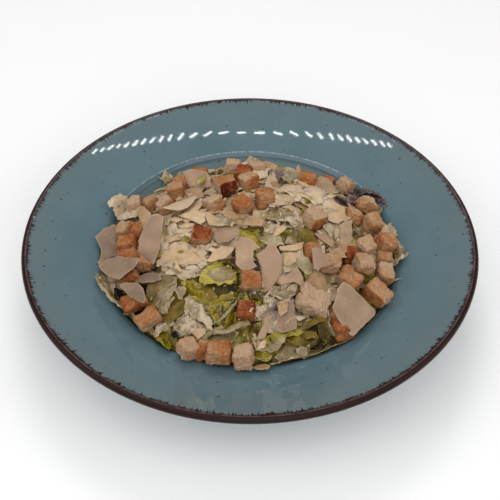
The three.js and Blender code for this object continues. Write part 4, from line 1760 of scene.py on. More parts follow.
    Sheet("band_green", OLIVE, 3.4, 0.6, 0, 0.4, 0.55, 0.5, ((283, 337), (290, 341), (297, 346), (291, 348),
        (284, 343))),
    Sheet("band_tan_top", OLIVE, 3.8, 0.6, 0, 0.5, 0.4, 0.4, ((298, 335), (305, 332), (316, 332), (318, 337),
        (308, 340), (301, 338))),
    Sheet("right_shadow_leaf", OLIVE, 1, 1, 0, 0.6, -0.1, 0.8, ((308, 352), (314, 344), (320, 341),
        (327, 342), (331, 346), (322, 350))),
    Sheet("right_purple_bits", PURPLE, 2, 0, 0, 0.4, -0.4, 0.6, ((322, 344), (326, 342.5), (329, 345),
        (325, 347.5))),
    Sheet("right_brown_shade", OLIVE, 1.6, 0.5, 0, 0.3, -0.9, 0.4, ((328, 341), (336, 337), (350, 336),
        (342, 342), (331, 347))),
    # Painted shade: a dark sheet laid in the hollow under the arch.
    Sheet("arch_hollow", OLIVE, 1.6, 0, 0, 0.3, -0.7, 0.3, ((304, 333), (309, 327), (317, 324), (322, 325),
        (321, 333), (312, 335))),
    Sheet("arch_glass", OLIVE, 3.4, -1, 0.5, 0.6, 0.35, 0.4, ((317, 325), (325, 320), (328, 327), (335, 335),
        (326, 339), (320, 339))),
    Sheet("arch_line", PALE, 5, -1.4, 1, 0.1, -0.15, 0.3, ((327.5, 314.5), (330, 315.5), (331, 326),
        (337, 333.5), (335, 336.5), (329, 330.5), (327, 321))),
    Sheet("arch_top", OLIVE, 6, 1.6, 1, 1, 0.5, 0.5, ((303, 326), (312, 321), (329, 314), (328, 321),
        (318, 324), (309, 329))),
    Sheet("arch_green", GREEN, 5.4, 1.2, 0.5, 0.6, -0.2, 0.7, ((294, 320), (303, 318), (307, 322),
        (301, 326), (295, 328))),
    Sheet("lower_leaf", GREEN, 3, 1, 0, 0.6, 0.7, 0.6, ((283, 332), (292, 329), (300, 329), (304, 333),
        (295, 336), (285, 337))),
    # --- near right, grey and white pieces
    Sheet("grey_lap", DRESSED, 4, 0.5, 0, 1, 0.3, 0.7, ((269, 290), (275, 284), (283, 283), (291, 283),
        (298, 287), (296, 292), (294, 296), (288, 300), (280, 300), (272, 296))),
    Sheet("lap_glass", PALE, 4.6, 0.3, 0, 0.4, 0.45, 0.3, ((283, 287), (289, 285), (296, 288), (293, 294),
        (286, 295))),
    Sheet("grey_bed", DRESSED, 2.6, 0.5, 0, 1, 0.12, 0.8, ((255, 319), (256, 311), (268, 296), (277, 300),
        (288, 299), (296, 305), (295, 313), (297, 320), (290, 331), (278, 333), (268, 324))),
    Sheet("grey_strip", DRESSED, 4.6, 0.4, 0, 0.4, 0, 0.6, ((255, 318), (257, 310), (263, 303), (269, 302),
        (267, 311), (262, 318))),
    Sheet("white_round", DRESSED, 4.8, 0.5, 0, 0.6, 0.45, 0.6, ((276, 307), (280, 301), (288, 300),
        (294, 305), (294, 313), (290, 319), (285, 323), (279, 323))),
    Sheet("purple_grey", PURPLE, 6, 0, 0, 0.3, 0.85, 0.3, ((269, 308), (274, 303), (278, 302), (277, 309),
        (272, 312))),
    Sheet("tan_glass", FLAKE, 3, 0, 0, 1.2, 0.1, 0.5, ((303, 285), (308, 276), (314, 270), (321, 272),
        (325, 280), (328, 290), (323, 296), (317, 291), (311, 288))),
    Sheet("white_beside_shaving", DRESSED, 3.6, 0.4, 0, 0.6, 0.35, 0.5, ((323, 296), (329, 289), (336, 288),
        (338, 292), (335, 302), (327, 304))),
    Sheet("lump_skirt", DRESSED, 4.2, 0.8, 0.4, 0.3, 0.75, 0.8, ((293, 319), (300, 318), (312, 318),
        (322, 314), (330, 310), (331, 314), (323, 318), (312, 322), (300, 322))),
    Sheet("base_flake", FLAKE, 4, 0.8, 0, 0.3, 1, 0.4, ((250, 334), (258, 333), (261, 340), (266, 341),
        (265, 348), (256, 350))),
    Sheet("rim_flake", FLAKE, 1.2, 0, 0, 0.2, 0, 0.3, ((252, 367), (262, 364), (271, 366), (268, 369),
        (256, 370))),
    Sheet("base_line", DRESSED, 0.9, 0, 0, 0.1, -0.5, 0.5, ((270, 363.5), (280, 360.5), (304, 355.5),
        (303, 357), (281, 362.5), (272, 365.5))),
    Sheet("base_line_right", PALE, 0.6, 0, 0, 0.1, -0.5, 0.5, ((303, 356), (320, 350.5), (334, 344.5),
        (351.5, 336), (352, 338), (334.5, 346.5), (320.5, 352.5), (304, 357.5))),
    Sheet("glass_shard_high", FLAKE, 0.5, 0.2, 0, 0.2, 0.3, 0.3, ((276, 305), (283, 301), (289, 304),
        (287, 312), (280, 316)), True),
    Sheet("glass_shard_low", FLAKE, 0.5, 0.2, 0, 0.2, 0.5, 0.3, ((285, 320), (294, 317), (298, 322),
        (296, 330), (288, 333), (284, 327)), True),
    Sheet("tan_flake", OLIVE, 5, 0.8, 0, 0.5, 0.2, 0.4, ((349, 270), (358, 269), (368, 273), (363, 282),
        (359, 285), (356, 279))),
    Sheet("crouton_chip", FLAKE, 1.8, 0.2, 0, 0.1, 1.4, 0.2, ((248.5, 311), (252, 307.5), (257.5, 304),
        (260.5, 306), (255, 311), (251, 312.5)), True),
    Sheet("lump_chip", FLAKE, 1.2, 0.2, 0, 0.2, 0.5, 0.2, ((297, 311), (305, 305), (310, 304), (315, 309),
        (302, 315)), True),
    # --- middle
    Sheet("yellow_lap", PALE, 4.4, 0.5, 0, 1, 1, 0.6, ((281, 253), (288, 250), (300, 247), (307, 253),
        (311, 264), (312, 272), (306, 275), (302, 268), (297, 266), (290, 271), (284, 273))),
    Sheet("yellow_lap_cream", FLAKE, 5.4, 0.4, 0, 0.4, 0.8, 0.4, ((283, 256), (290, 252), (297, 254),
        (296, 262), (289, 266), (284, 264))),
    Sheet("lap_olive_bit", GREEN, 3.4, 0, 0, 0.3, 0.1, 0.4, ((304.5, 275.5), (307.5, 274), (308.5, 277.5),
        (306, 280))),
    Sheet("deep_olive", OLIVE, 3.8, -0.4, 0, -0.3, 0.6, 0.5, ((300, 230), (306, 227), (313, 235), (320, 240),
        (320, 247), (312, 251), (303, 251), (299, 245))),
    Sheet("round_glass", FLAKE, 4.4, 0.8, 0, 1.2, 0.25, 0.35, ((327, 246), (331, 240), (338, 238),
        (346, 243), (355, 241), (356, 250), (351, 256), (340, 259), (331, 255))),
    Sheet("green_beside_shaving", PALE, 3.4, 0, 0, 0.8, 1.1, 0.8, ((323, 226), (329, 222), (342, 220),
        (342, 230), (339, 238), (332, 239))),
    Sheet("white_beside_green", DRESSED, 4.4, 0, 0, 0.5, 0.1, 0.6, ((331, 229), (336, 226), (340, 230),
        (338, 239), (333, 238))),
    Sheet("grey_glass_top", DRESSED, 4, -0.8, 0.5, 1.2, -0.1, 0.9, ((263, 218), (270, 212), (280, 207),
        (289, 208), (299, 214), (304, 224), (303, 233), (286, 223), (276, 220))),
    Sheet("top_strip", FLAKE, 5.6, 0, 0, 0.3, 0.6, 0.4, ((281, 207), (290, 205), (299, 209), (301, 213),
        (296, 214), (289, 209))),
    Sheet("dark_line", OLIVE, 1.4, 0, 0, 0.1, 0.5, 0.3, ((240, 228), (250, 226), (259, 230), (256, 232),
        (248, 231), (240, 231))),
    Sheet("back_green", GREEN, 2, 0.4, 0, 0.8, 0.6, 1, ((239, 231), (248, 231), (257, 232), (262, 238),
        (266, 246), (260, 247), (253, 242), (246, 238), (239, 238))),
    Sheet("back_green_tail", GREEN, 2.2, 0, 0, 0.5, -0.4, 0.6, ((259, 229), (263, 228.5), (264.5, 236),
        (262.5, 242), (259.5, 237))),
    Sheet("green_spot", GREEN, 3, 0.4, 0, 0.5, 0.2, 0.6, ((281, 234), (285, 230), (293, 229), (291, 236),
        (285, 242), (281, 240))),
    Sheet("pale_by_spot", PALE, 2.8, 0.4, 0, 0.6, 0.4, 0.7, ((290, 232), (300, 229), (301, 240), (292, 245),
        (284, 244))),
    Sheet("pale_between", PALE, 2.6, 0.4, 0, 0.8, 0.55, 0.9, ((255, 235), (266, 232), (281, 239), (284, 246),
        (272, 248), (264, 246))),
    Sheet("speckled_white", DRESSED, 3.2, 0.2, 0, 0.5, 0.5, 1.4, ((262, 224), (270, 221), (280, 224),
        (278, 232), (270, 237), (264, 232))),
    Sheet("green_slot", GREEN, 0.8, 0, 0, 0.4, 0.2, 0.5, ((230, 263), (231, 254), (234, 248), (237, 249),
        (238, 264), (234, 267))),
    # Painted shade: a dark sheet laid in the slot.
    Sheet("green_slot_dark", OLIVE, 4.4, 0, 0, 0.2, -0.2, 0.2, ((228.5, 263), (232, 258.5), (236, 259),
        (235, 265.5))),
    # --- cheese over the middle
    Sheet("long_flake", FLAKE, 5, 0.5, 1, 0.3, 0.85, 0.4, ((279, 247), (290, 246), (304, 242), (305, 247),
        (295, 251), (280, 250))),
    Sheet("sliver", FLAKE, 5, 0, 1, 0.3, 0.75, 0.4, ((272, 237), (279, 226), (288, 227), (284, 231),
        (274, 238))),
    Sheet("big_flake_back", FLAKE, 4.5, 0.5, 0.5, 0.6, 1.15, 1.1, ((299, 181), (308, 181), (318, 185),
        (324, 190), (327, 197), (326, 202), (318, 205), (307, 198), (296, 196), (290, 193), (297, 187))),
    Sheet("big_flake_right", FLAKE, 5, 0.5, 0.5, 0.8, 1.05, 1.1, ((322, 200), (330, 197), (341, 202),
        (350, 209), (351, 217), (345, 220), (338, 223), (329, 222), (323, 213))),
    Sheet("cream_flake_mid", FLAKE, 4.2, 0.5, 0, 0.5, 1.1, 1, ((268, 201), (275, 196), (288, 195),
        (298, 198), (291, 204), (278, 206), (270, 205))),
    Sheet("cream_left_mid", FLAKE, 3.6, 0.3, 0, 0.5, 1.35, 0.5, ((296, 197), (306, 198), (316, 205),
        (322, 213), (312, 209), (302, 203))),
    Sheet("green_line", GREEN, 3.6, 0, 0, 0.2, 0.1, 0.5, ((280, 194), (287, 192.5), (295, 191.5),
        (293.5, 196.5), (288, 198.5), (286, 195))),
    Sheet("green_nick", GREEN, 4.4, 0, 0, 0.2, -0.1, 0.4, ((305, 200.5), (311.5, 199.5), (312, 203.5),
        (306.5, 205))),
    Sheet("ledge_flake", FLAKE, 3.8, 0.3, 0, 0.3, 0.2, 0.4, ((236, 219), (246, 216), (256, 217), (265, 222),
        (262, 226), (240, 225))),
    Sheet("cream_slope", FLAKE, 3.2, 0.3, 0, 0.5, 0.1, 0.5, ((221, 212), (231, 209), (238, 214), (248, 216),
        (251, 221), (243, 226), (233, 222), (226, 217))),
    Sheet("pale_wing", PALE, 3.6, 0.3, 0, 0.4, 0.6, 0.6, ((212, 222), (221, 217.5), (229, 218.5),
        (236, 222.5), (218, 227))),
    Sheet("white_triangle", FLAKE, 4.5, 0, 0, 0.4, 1.2, 0.4, ((179, 216), (187, 212), (198, 210), (204, 213),
        (206, 221), (200, 225))),
    Sheet("cream_tab", FLAKE, 4, 0, 0, 0.4, 0.7, 0.4, ((204, 213), (212, 214), (221, 219), (216, 226),
        (209, 225), (206, 221))),
    Sheet("under_ribbon", FLAKE, 3.2, 0, 0, 0.4, 1.2, 0.4, ((184, 212), (201, 198), (205, 202), (200, 209),
        (190, 214))),
    Sheet("left_ribbon", FLAKE, 4, 0, 0, 0.3, 1.1, 0.4, ((166, 218.5), (176, 217), (184, 219.5), (178, 222),
        (168, 221))),
    Sheet("short_flake", FLAKE, 4, 0, 0, 0.3, 1.1, 0.4, ((178, 226), (186, 222.5), (195, 223.5),
        (194, 226.5), (184, 228.5))),
    Sheet("cream_step", FLAKE, 3.4, 0.2, 0, 0.4, 1, 0.5, ((169, 231), (180, 229), (192, 231), (192, 237),
        (170, 240))),
    Sheet("nib_flake", PALE, 4.6, 0, 0, 0.3, 0.5, 0.4, ((160.5, 217.5), (166, 215.5), (171.5, 219),
        (168, 225), (162, 225.5))),
    Sheet("left_glass", DRESSED, 3, 0, 0, 0.8, 0.2, 0.5, ((160, 234), (168, 222), (176, 222), (178, 233),
        (171, 245), (161, 255))),
    Sheet("green_bit", GREEN, 3.4, 0, 0, 0.3, 0.45, 0.5, ((181, 240.5), (185.5, 236), (190.5, 236.5),
        (188.5, 241), (184, 243.5))),
    Sheet("wide_cream", FLAKE, 3.8, 0.6, 0, 0.6, 1, 1.1, ((157, 264), (165, 251), (172, 245), (179, 243),
        (186, 243), (204, 252), (207, 262), (195, 264), (175, 265))),
    Sheet("orange_bits", OLIVE, 5.2, 0, 0, 0.1, 1, 0.2, ((178, 251.5), (181.5, 250), (184, 251.5),
        (181.5, 253))),
    Sheet("jagged_cream", FLAKE, 4.4, 0.4, 0, 0.5, 1.05, 0.8, ((207, 262), (210, 256), (222, 246),
        (233, 242), (235, 247), (231, 254), (225, 259), (215, 262))),
    Sheet("cream_under_cup", FLAKE, 3, 0.2, 0, 0.3, 1, 0.5, ((196, 263), (206, 260), (217, 262),
        (201, 269))),
    # --- far side
    Sheet("far_grey_glass", DRESSED, 2.4, 0, 0, 0.6, -0.5, 0.4, ((247, 160), (251, 157), (258, 158),
        (264, 163), (259, 166), (250, 165))),
    Sheet("far_cream", FLAKE, 2.6, 0, 0, 0.6, 2.4, 0.8, ((240, 162), (250, 160), (262, 165), (270, 167),
        (268, 176), (258, 180), (248, 174))),
    Sheet("far_purple", PURPLE, 3.4, 0, 0, 0.6, 0.8, 0.9, ((267, 168), (271, 166), (277, 171), (284, 174),
        (285, 179), (277, 179), (269, 175))),
    Sheet("far_tan", PALE, 3.8, 0, 0, 1, 0.6, 0.8, ((280, 169), (287, 168), (294, 171), (298, 179),
        (290, 183), (282, 179))),
    Sheet("far_wedge", FLAKE, 4.6, 0, 0, 0.4, 0.85, 0.4, ((264, 186), (269, 175), (274, 170), (277, 180),
        (280, 184), (274, 189))),
    Sheet("far_sliver", FLAKE, 3.4, -2.6, 0, 0.1, 0.5, 0.2, ((294, 176), (297, 167), (298, 164), (301, 169),
        (300, 178))),
    Sheet("far_triangle", FLAKE, 4.5, 0.5, 0, 0.5, 0.3, 0.5, ((314, 182), (321, 176), (329, 180), (339, 193),
        (330, 194), (319, 189))),
    Sheet("far_curl", PALE, 3.8, 0, 0, 0.6, 0.4, 0.7, ((326, 193), (336, 193), (347, 199), (351, 206),
        (345, 204), (335, 200), (328, 198))),
    # Painted shade: a dark sheet laid in the hollow under the curl.
    Sheet("far_hollow", PURPLE, 4.8, 0, 0, 0.2, 0.2, 0.3, ((334, 198.5), (339, 196.5), (345, 200.5),
        (349, 206), (342, 204), (337, 201.5))),
    Sheet("far_left_leaf", DRESSED, 2.2, 0, 0, 0.8, 0.25, 0.8, ((158.5, 178), (162.5, 173), (168, 172.5),
        (172.5, 177), (171, 183), (164, 182))),
    Sheet("far_left_green", GREEN, 3.4, 0, 0, 0.2, 0.3, 0.4, ((165, 178), (168.5, 176.5), (172.5, 180),
        (169, 182.5))),
    Sheet("far_left_grey", DRESSED, 3, 0, 0, 0.5, 0, 0.6, ((175, 177), (180, 172), (185, 174), (187, 181),
        (181, 182))),
    Sheet("shaving_green", GREEN, 0.6, 0, 0, 0.1, 0.4, 0.3, ((196, 182), (200, 178), (206, 175), (208, 179),
        (203, 183), (198, 185)), True),
    Sheet("behind_shaving", FLAKE, 3, 0, 0, 0.4, 0.3, 0.5, ((189, 189), (197, 187), (204, 189), (203, 196),
        (195, 199), (188, 197))),
    # Painted shade: a dark sheet laid in a small gap behind the shaving.
    Sheet("far_nick", PURPLE, 4.2, 0, 0, 0.1, -0.2, 0.1, ((201.5, 191.5), (203.5, 188.5), (206, 190),
        (204, 192.5))),
    Sheet("left_white", DRESSED, 2.2, 0.4, -0.8, 0.8, 0.75, 0.9, ((108, 204), (111, 199), (121, 193),
        (128, 197), (126, 205), (117, 210), (109, 207))),
    Sheet("left_white_low", DRESSED, 3, 0.4, 0, 0.8, 1.1, 1, ((114, 210), (121, 204), (131, 203), (139, 207),
        (137, 216), (127, 220), (118, 221))),
    Sheet("left_white_step", DRESSED, 4.6, 0.2, 0, 0.4, 2.1, 0.8, ((124, 201), (130, 199), (136, 203),
        (134, 209), (127, 210))),
    Sheet("left_tan", FLAKE, 4.4, 0, 0, 0.5, 0.45, 0.5, ((137, 206), (143, 206), (151, 213), (150, 221),
        (146, 231), (141, 225), (138, 216))),
    Sheet("left_lower_strip", FLAKE, 3, 0, 0, 0.3, 0.3, 0.4, ((101, 246), (106, 251), (109, 258), (105, 263),
        (99, 266), (98, 263), (101, 255))),
    Sheet("right_purple", PURPLE, 3, 0, 0, 0.8, 0.75, 1.2, ((345, 191), (352, 188), (357, 190), (358, 201),
        (352, 207), (346, 201))),
    Sheet("right_pale_bit", PALE, 3, 0, 0, 0.8, 0.3, 0.8, ((365, 212), (371, 206), (379, 203), (382, 211),
        (378, 215), (370, 216))),
    Sheet("right_tuck", PALE, 2, 0, 0, 0.4, -0.4, 0.4, ((353.5, 225), (360, 228.5), (369.5, 232.5),
        (360, 234.5), (354.5, 231))),
    Sheet("right_green_tip", GREEN, 3, 0, 0, 0.2, 1, 0.4, ((353, 243), (356.5, 240.5), (358, 244.5),
        (354.5, 247))),
    Sheet("right_white", DRESSED, 2.4, 0, 0.8, 0.8, 0.8, 0.9, ((377, 227), (383, 223), (391, 224),
        (396, 231), (396, 237), (389, 236), (381, 233))),
    Sheet("right_curl", DRESSED, 1.2, 0, 0, 0.6, -0.3, 0.9, ((394, 244), (399, 240), (404, 247), (403, 253),
        (408, 253), (405, 257), (397, 264), (394, 254))),
)

FRILL = Sheet("purple_frill", PURPLE, 0.6, 0, 0.3, 0.2, -0.1, 0.8, ((353, 196), (357.6, 191), (363, 192),
    (371, 193), (379, 194), (384, 197.6), (381, 202), (372, 204), (361, 203)))
FRILL_SPREAD = ((352, 194), (357.8, 188), (363.3, 188.6), (371.1, 190), (377.8, 186), (386, 193),
    (389.6, 199), (386.7, 206), (380, 212), (376, 206), (362, 206), (354, 203))


@dataclass(frozen=True)
class Scatter:
    """A rule for small sheets scattered over the heap.

    longest and widest are the ranges of their sides, and lift that of their height above the heap. tilt is
    how many degrees they lean at most, step the distance between their points, and beyond how far past the
    core they may lie.
    """

    count: int
    seed: int
    longest: tuple[float, float]
    widest: tuple[float, float]
    lift: tuple[float, float]
    tilt: float
    step: float = 1.0 * MM
    beyond: float = 0.0


LEAF_SCRAPS = Scatter(400, SEED + 1, mm(4.5, 11), mm(2.6, 6), mm(-0.6, 1.8), 24, 1.1 * MM)
BACK_SCRAPS = Scatter(560, SEED + 4, mm(4.5, 12), mm(2.6, 6.5), mm(0.2, 2.4), 26, 1.1 * MM)
CHEESE_FLAKES = Scatter(300, SEED + 2, mm(2.4, 7.5), mm(1.6, 4.0), mm(0.2, 1.4), 12, 1.1 * MM)
CRUMBS = Scatter(500, SEED + 3, mm(0.5, 1.6), mm(0.4, 1.0), mm(1.4, 3.0), 50)


@dataclass(frozen=True)
class Drift:
    """Small pieces that lie close together over a stretch of the heap, outlined in the camera's frame."""

    kind: Kind
    rule: Scatter
    tones: tuple[float, float]
    outline: tuple[Point, ...]


DRIFTS = (
    Drift(FLAKE, Scatter(150, 21, mm(2.4, 8.5), mm(1.8, 4.6), mm(1.2, 3.6), 9, 1.1 * MM), (0.7, 1.1), (
        (157, 264), (165, 242), (176, 214), (200, 206), (235, 210), (266, 216), (270, 228), (240, 231),
        (237, 262), (205, 268), (176, 266))),
    Drift(FLAKE, Scatter(160, 22, mm(2.4, 8.5), mm(1.8, 4.6), mm(1.2, 3.8), 9, 1.1 * MM), (0.7, 1.1), (
        (222, 178), (238, 165), (266, 166), (300, 176), (322, 182), (352, 205), (350, 222), (325, 222),
        (300, 208), (262, 212), (230, 198))),
    Drift(FLAKE, Scatter(50, 23, mm(2.0, 6.0), mm(1.4, 3.6), mm(0.6, 2.2), 10), (0.5, 1.0), ((112, 208),
        (116, 198), (140, 196), (165, 192), (205, 188), (215, 200), (190, 214), (150, 214), (118, 220))),
    Drift(DRESSED, Scatter(24, 24, mm(2.4, 5.5), mm(1.6, 3.4), mm(2.0, 4.0), 16), (0.1, 0.7), ((254, 296),
        (300, 292), (304, 330), (284, 338), (262, 330))),
    Drift(FLAKE, Scatter(26, 25, mm(1.4, 3.6), mm(1.0, 2.4), mm(2.4, 4.6), 24), (0.1, 0.8), ((246, 300),
        (300, 290), (330, 262), (350, 262), (340, 300), (304, 338), (250, 352))),
    Drift(GREEN, Scatter(64, 26, mm(2.2, 5.5), mm(1.4, 3.2), mm(0.4, 2.6), 22), (0.1, 1.0), ((178, 276),
        (206, 262), (236, 262), (262, 232), (262, 300), (240, 330), (256, 350), (300, 343), (326, 342),
        (300, 356), (255, 360), (215, 343), (205, 322), (186, 300))),
    Drift(DRESSED, Scatter(60, 27, mm(1.4, 4.0), mm(1.0, 2.4), mm(2.0, 4.6), 20), (0.1, 0.9), ((172, 330),
        (188, 312), (186, 296), (214, 300), (214, 332), (200, 342), (180, 338))),
    Drift(DRESSED, Scatter(70, 28, mm(0.6, 1.8), mm(0.4, 0.9), mm(3.6, 6.4), 30), (0.3, 1.0), ((182, 264),
        (236, 262), (262, 240), (264, 300), (240, 332), (300, 340), (250, 352), (206, 322), (184, 300))),
    Drift(GREEN, Scatter(44, 29, mm(1.4, 3.8), mm(1.0, 2.0), mm(1.4, 3.6), 14), (0.4, 1.1), ((176, 218),
        (232, 204), (262, 214), (300, 200), (345, 222), (352, 250), (300, 248), (238, 232), (190, 246))),
    Drift(PURPLE, Scatter(150, 30, mm(0.9, 2.8), mm(0.22, 0.5), mm(0.2, 3.0), 70, beyond=11 * MM),
        (-0.3, 1.7), FRILL_SPREAD),
    Drift(DRESSED, Scatter(56, 35, mm(0.8, 3.0), mm(0.4, 1.2), mm(3.6, 6.4), 24), (-0.6, 1.5), ((262, 210),
        (282, 206), (304, 216), (304, 234), (286, 230), (262, 234))),
    Drift(DRESSED, Scatter(22, 33, mm(1.6, 5.0), mm(1.0, 2.6), mm(3.4, 5.6), 14), (0.3, 1.2), ((320, 224),
        (352, 222), (344, 232), (328, 246), (324, 260), (318, 244))),
    Drift(FLAKE, Scatter(40, 34, mm(1.8, 5.5), mm(1.0, 2.6), mm(3.6, 6.0), 10), (0.4, 1.4), ((160, 214),
        (176, 196), (215, 186), (262, 212), (262, 228), (200, 228), (168, 232))),
    Drift(FLAKE, Scatter(84, 31, mm(2.0, 6.5), mm(1.0, 3.0), mm(4.6, 7.0), 11), (0.5, 2.0), ((160, 262),
        (168, 240), (186, 228), (206, 240), (234, 244), (226, 262), (200, 268), (176, 270))),
    Drift(FLAKE, Scatter(86, 32, mm(2.0, 6.5), mm(1.0, 3.0), mm(5.4, 7.8), 11), (0.6, 2.0), ((262, 204),
        (276, 190), (300, 180), (320, 186), (352, 210), (348, 222), (322, 218), (300, 200), (280, 210))),
)


Chooser = Callable[[float, float, random.Random], tuple[Kind, float] | None]


@dataclass
class Heap:
    """The heap: its core, the leaves and flakes in sight, and scattered ones between them.

    The core is drawn in by inset round a direction, inset_turn, out to inset_reach degrees on both sides.
    Small sheets tilt less within calm_edge of the edge, and bend less below full_length. Behind far_from they
    keep within the edge, and behind slope_from leaves are scattered on the far slope.
    """

    ground: Ground
    meshes: dict[Kind, SheetMesh] = field(default_factory=lambda: {kind: SheetMesh() for kind in Kind})
    step: float = 0.95 * MM
    inset: float = 4.2 * MM
    inset_turn: float = 126.0
    inset_reach: float = 34.0
    calm_edge: float = 14 * MM
    curl_radius: float = 22 * MM
    full_length: float = 6 * MM
    far_from: float = 20 * MM
    slope_from: float = 46 * MM

    def build(self) -> None:
        """Builds the heap from its core outwards."""
        self.core()
        self.scatter(LEAF_SCRAPS, self.choose_leaf)
        self.scatter(BACK_SCRAPS, self.choose_back)
        self.scatter(CHEESE_FLAKES, self.choose_flake)
        self.scatter(CRUMBS, self.choose_flake)
        for order, sheet in enumerate((*SHEETS, FRILL)):
            self.lay_sheet(sheet, order)
        for drift in DRIFTS:
            self.pile(drift)
        for kind, gathered in self.meshes.items():
            slot = "cheese" if kind is FLAKE else "leaves"
            dress(gathered.piece(kind.value), FINISHES[kind].material(), slot, "salad")

    def core(self) -> None:
        """The uneven core that shows between the leaves."""
        deselect()
        bpy.ops.mesh.primitive_uv_sphere_add(segments=160, ring_count=110, radius=1.0)
        piece = bpy.context.object
        piece.name = piece.data.name = "heap_core"
        places = corners_of(piece.data)
        form = self.ground.heap
        upper = places[:, 2] >= 0
        around = np.arctan2(places[:, 1], places[:, 0])
        share = np.hypot(places[:, 0], places[:, 1])
        aside = np.abs(np.degrees(around) - self.inset_turn) / self.inset_reach
        inset = self.inset * np.clip((1 - aside) * 4, 0, 1)
        distance = share * (form.core_radius + 0.8 * MM - inset)
        moved = upright(np.column_stack([distance * np.cos(around), distance * np.sin(around)]))
        folds = ripple(moved, 7 * MM, 3) * 3.0 + (0.28 - np.abs(ripple(moved, 3.6 * MM, 4))) * 2.6
        cream = self.creaminess(moved[:, 0], moved[:, 1])
        sunk = (2.4 - 1.9 * cream) * MM
        relief = folds * MM * np.clip((1 - share) * 12, 0, 1) * (1 - 0.6 * cream)
        top = form.height(moved[:, 0], moved[:, 1]) - sunk + relief
        bed = self.ground.plate.top_height(distance) + 0.4 * MM
        moved[:, 2] = np.where(upper, np.maximum(top, bed + 0.4 * MM), bed)
        move_corners(piece.data, self.ground.settle(moved))
        # crest sets where the core's finish paints shade into the hollows.
        carry(piece.data, "crest", np.clip(0.5 + folds / 3.2, 0, 1))
        carry(piece.data, "tone", cream)
        focus(piece)
        bpy.ops.object.shade_smooth()
        dress(piece, CoreFinish().material(), "leaves", "salad")

    @staticmethod
    def creaminess(x: np.ndarray, y: np.ndarray) -> np.ndarray:
        """How much cheese covers the leaves.

        Args:
            x: Places in plan, from left to right.
            y: The same places, from near to far.

        Returns:
            The share at each: 0 none, 1 all.
        """
        near = np.clip((y + 38 * MM) / (24 * MM), 0, 1)
        right = np.clip((60 * MM - x) / (20 * MM), 0.25, 1)
        far = np.clip((84 * MM - y) / (36 * MM), 0.4, 1)
        return np.clip(near * right * far + 0.12, 0, 1)

    def lay_sheet(self, sheet: Sheet, order: int) -> None:
        """Lays one leaf or flake in sight.

        Args:
            sheet: The leaf or flake.
            order: Its place in the list; later ones lie a hair higher.
        """
        habit = HABITS[sheet.kind]
        frame = np.array(sheet.outline)
        low, high = frame.min(0), frame.max(0)
        share = (frame - low) / np.maximum(high - low, 1e-6) * 2 - 1
        lifts = (sheet.lift + sheet.near * share[:, 1] + sheet.side * share[:, 0] + 0.02 * order) * MM
        corners = np.array([self.ground.seen_at(*spot, lift, sheet.over) for spot, lift in zip(frame, lifts)])
        draw = random.Random(SEED * 100 + order)
        cut = cut_out(corners[:, :2], self.step, habit.ragged * MM, order, draw)
        x, y = cut.points.T
        gaps = np.linalg.norm(cut.points[:, None] - corners[None, :, :2], axis=2)
        weights = 1 / (gaps + 0.4 * MM) ** 2
        rise, crest = habit.heights(cut, order)
        swell = sheet.bulge * MM * 0.7 * cut.inward + rise * sheet.ruffle
        if sheet.over:
            height = weights @ corners[:, 2] / weights.sum(1) + swell
            top = self.ground.top_of_all(x, y) + habit.thickness * MM
            middle = np.column_stack([x, y, np.maximum(height, top)])
        else:
            height = self.ground.height(x, y) + weights @ lifts / weights.sum(1) + swell
            middle = self.ground.settle(np.column_stack([x, y, height]))
        centred = cut.points - cut.points.mean(0)
        grain = centred @ np.linalg.svd(centred)[2].T * FIBRES + (order, 0)
        self.meshes[sheet.kind].add(cut, middle, habit.thickness * MM, sheet.tone, crest, grain)
        LOG.debug("%s laid", sheet.name)

    def scatter(self, rule: Scatter, choose: Chooser) -> None:
        """Scatters small sheets over the heap by a rule.

        Args:
            rule: The rule.
            choose: Gives the kind and tone for a place, or None to leave it bare.
        """
        draw = random.Random(rule.seed)
        golden = math.pi * (3 - math.sqrt(5))
        reach = self.ground.heap.core_radius
        for i in range(rule.count):
            distance = reach * math.sqrt((i + 0.5) / rule.count)
            angle = i * golden + rule.seed
            place = (distance * math.cos(angle), distance * math.sin(angle))
            found = choose(*place, draw)
            if found is not None:
                self.lay_scrap(place, rule, *found, draw)

    def pile(self, drift: Drift) -> None:
        """Lays the pieces of a drift.

        Args:
            drift: The drift.
        """
        draw = random.Random(drift.rule.seed)
        outline = np.array(drift.outline)
        low, high = outline.min(0), outline.max(0)
        laid = 0
        while laid < drift.rule.count:
            spot = np.array([[draw.uniform(low[0], high[0]), draw.uniform(low[1], high[1])]])
            if within(spot, outline)[0]:
                x, y, _ = self.ground.seen_at(*spot[0], drift.rule.lift[0])
                self.lay_scrap((x, y), drift.rule, drift.kind, draw.uniform(*drift.tones), draw)
                laid += 1

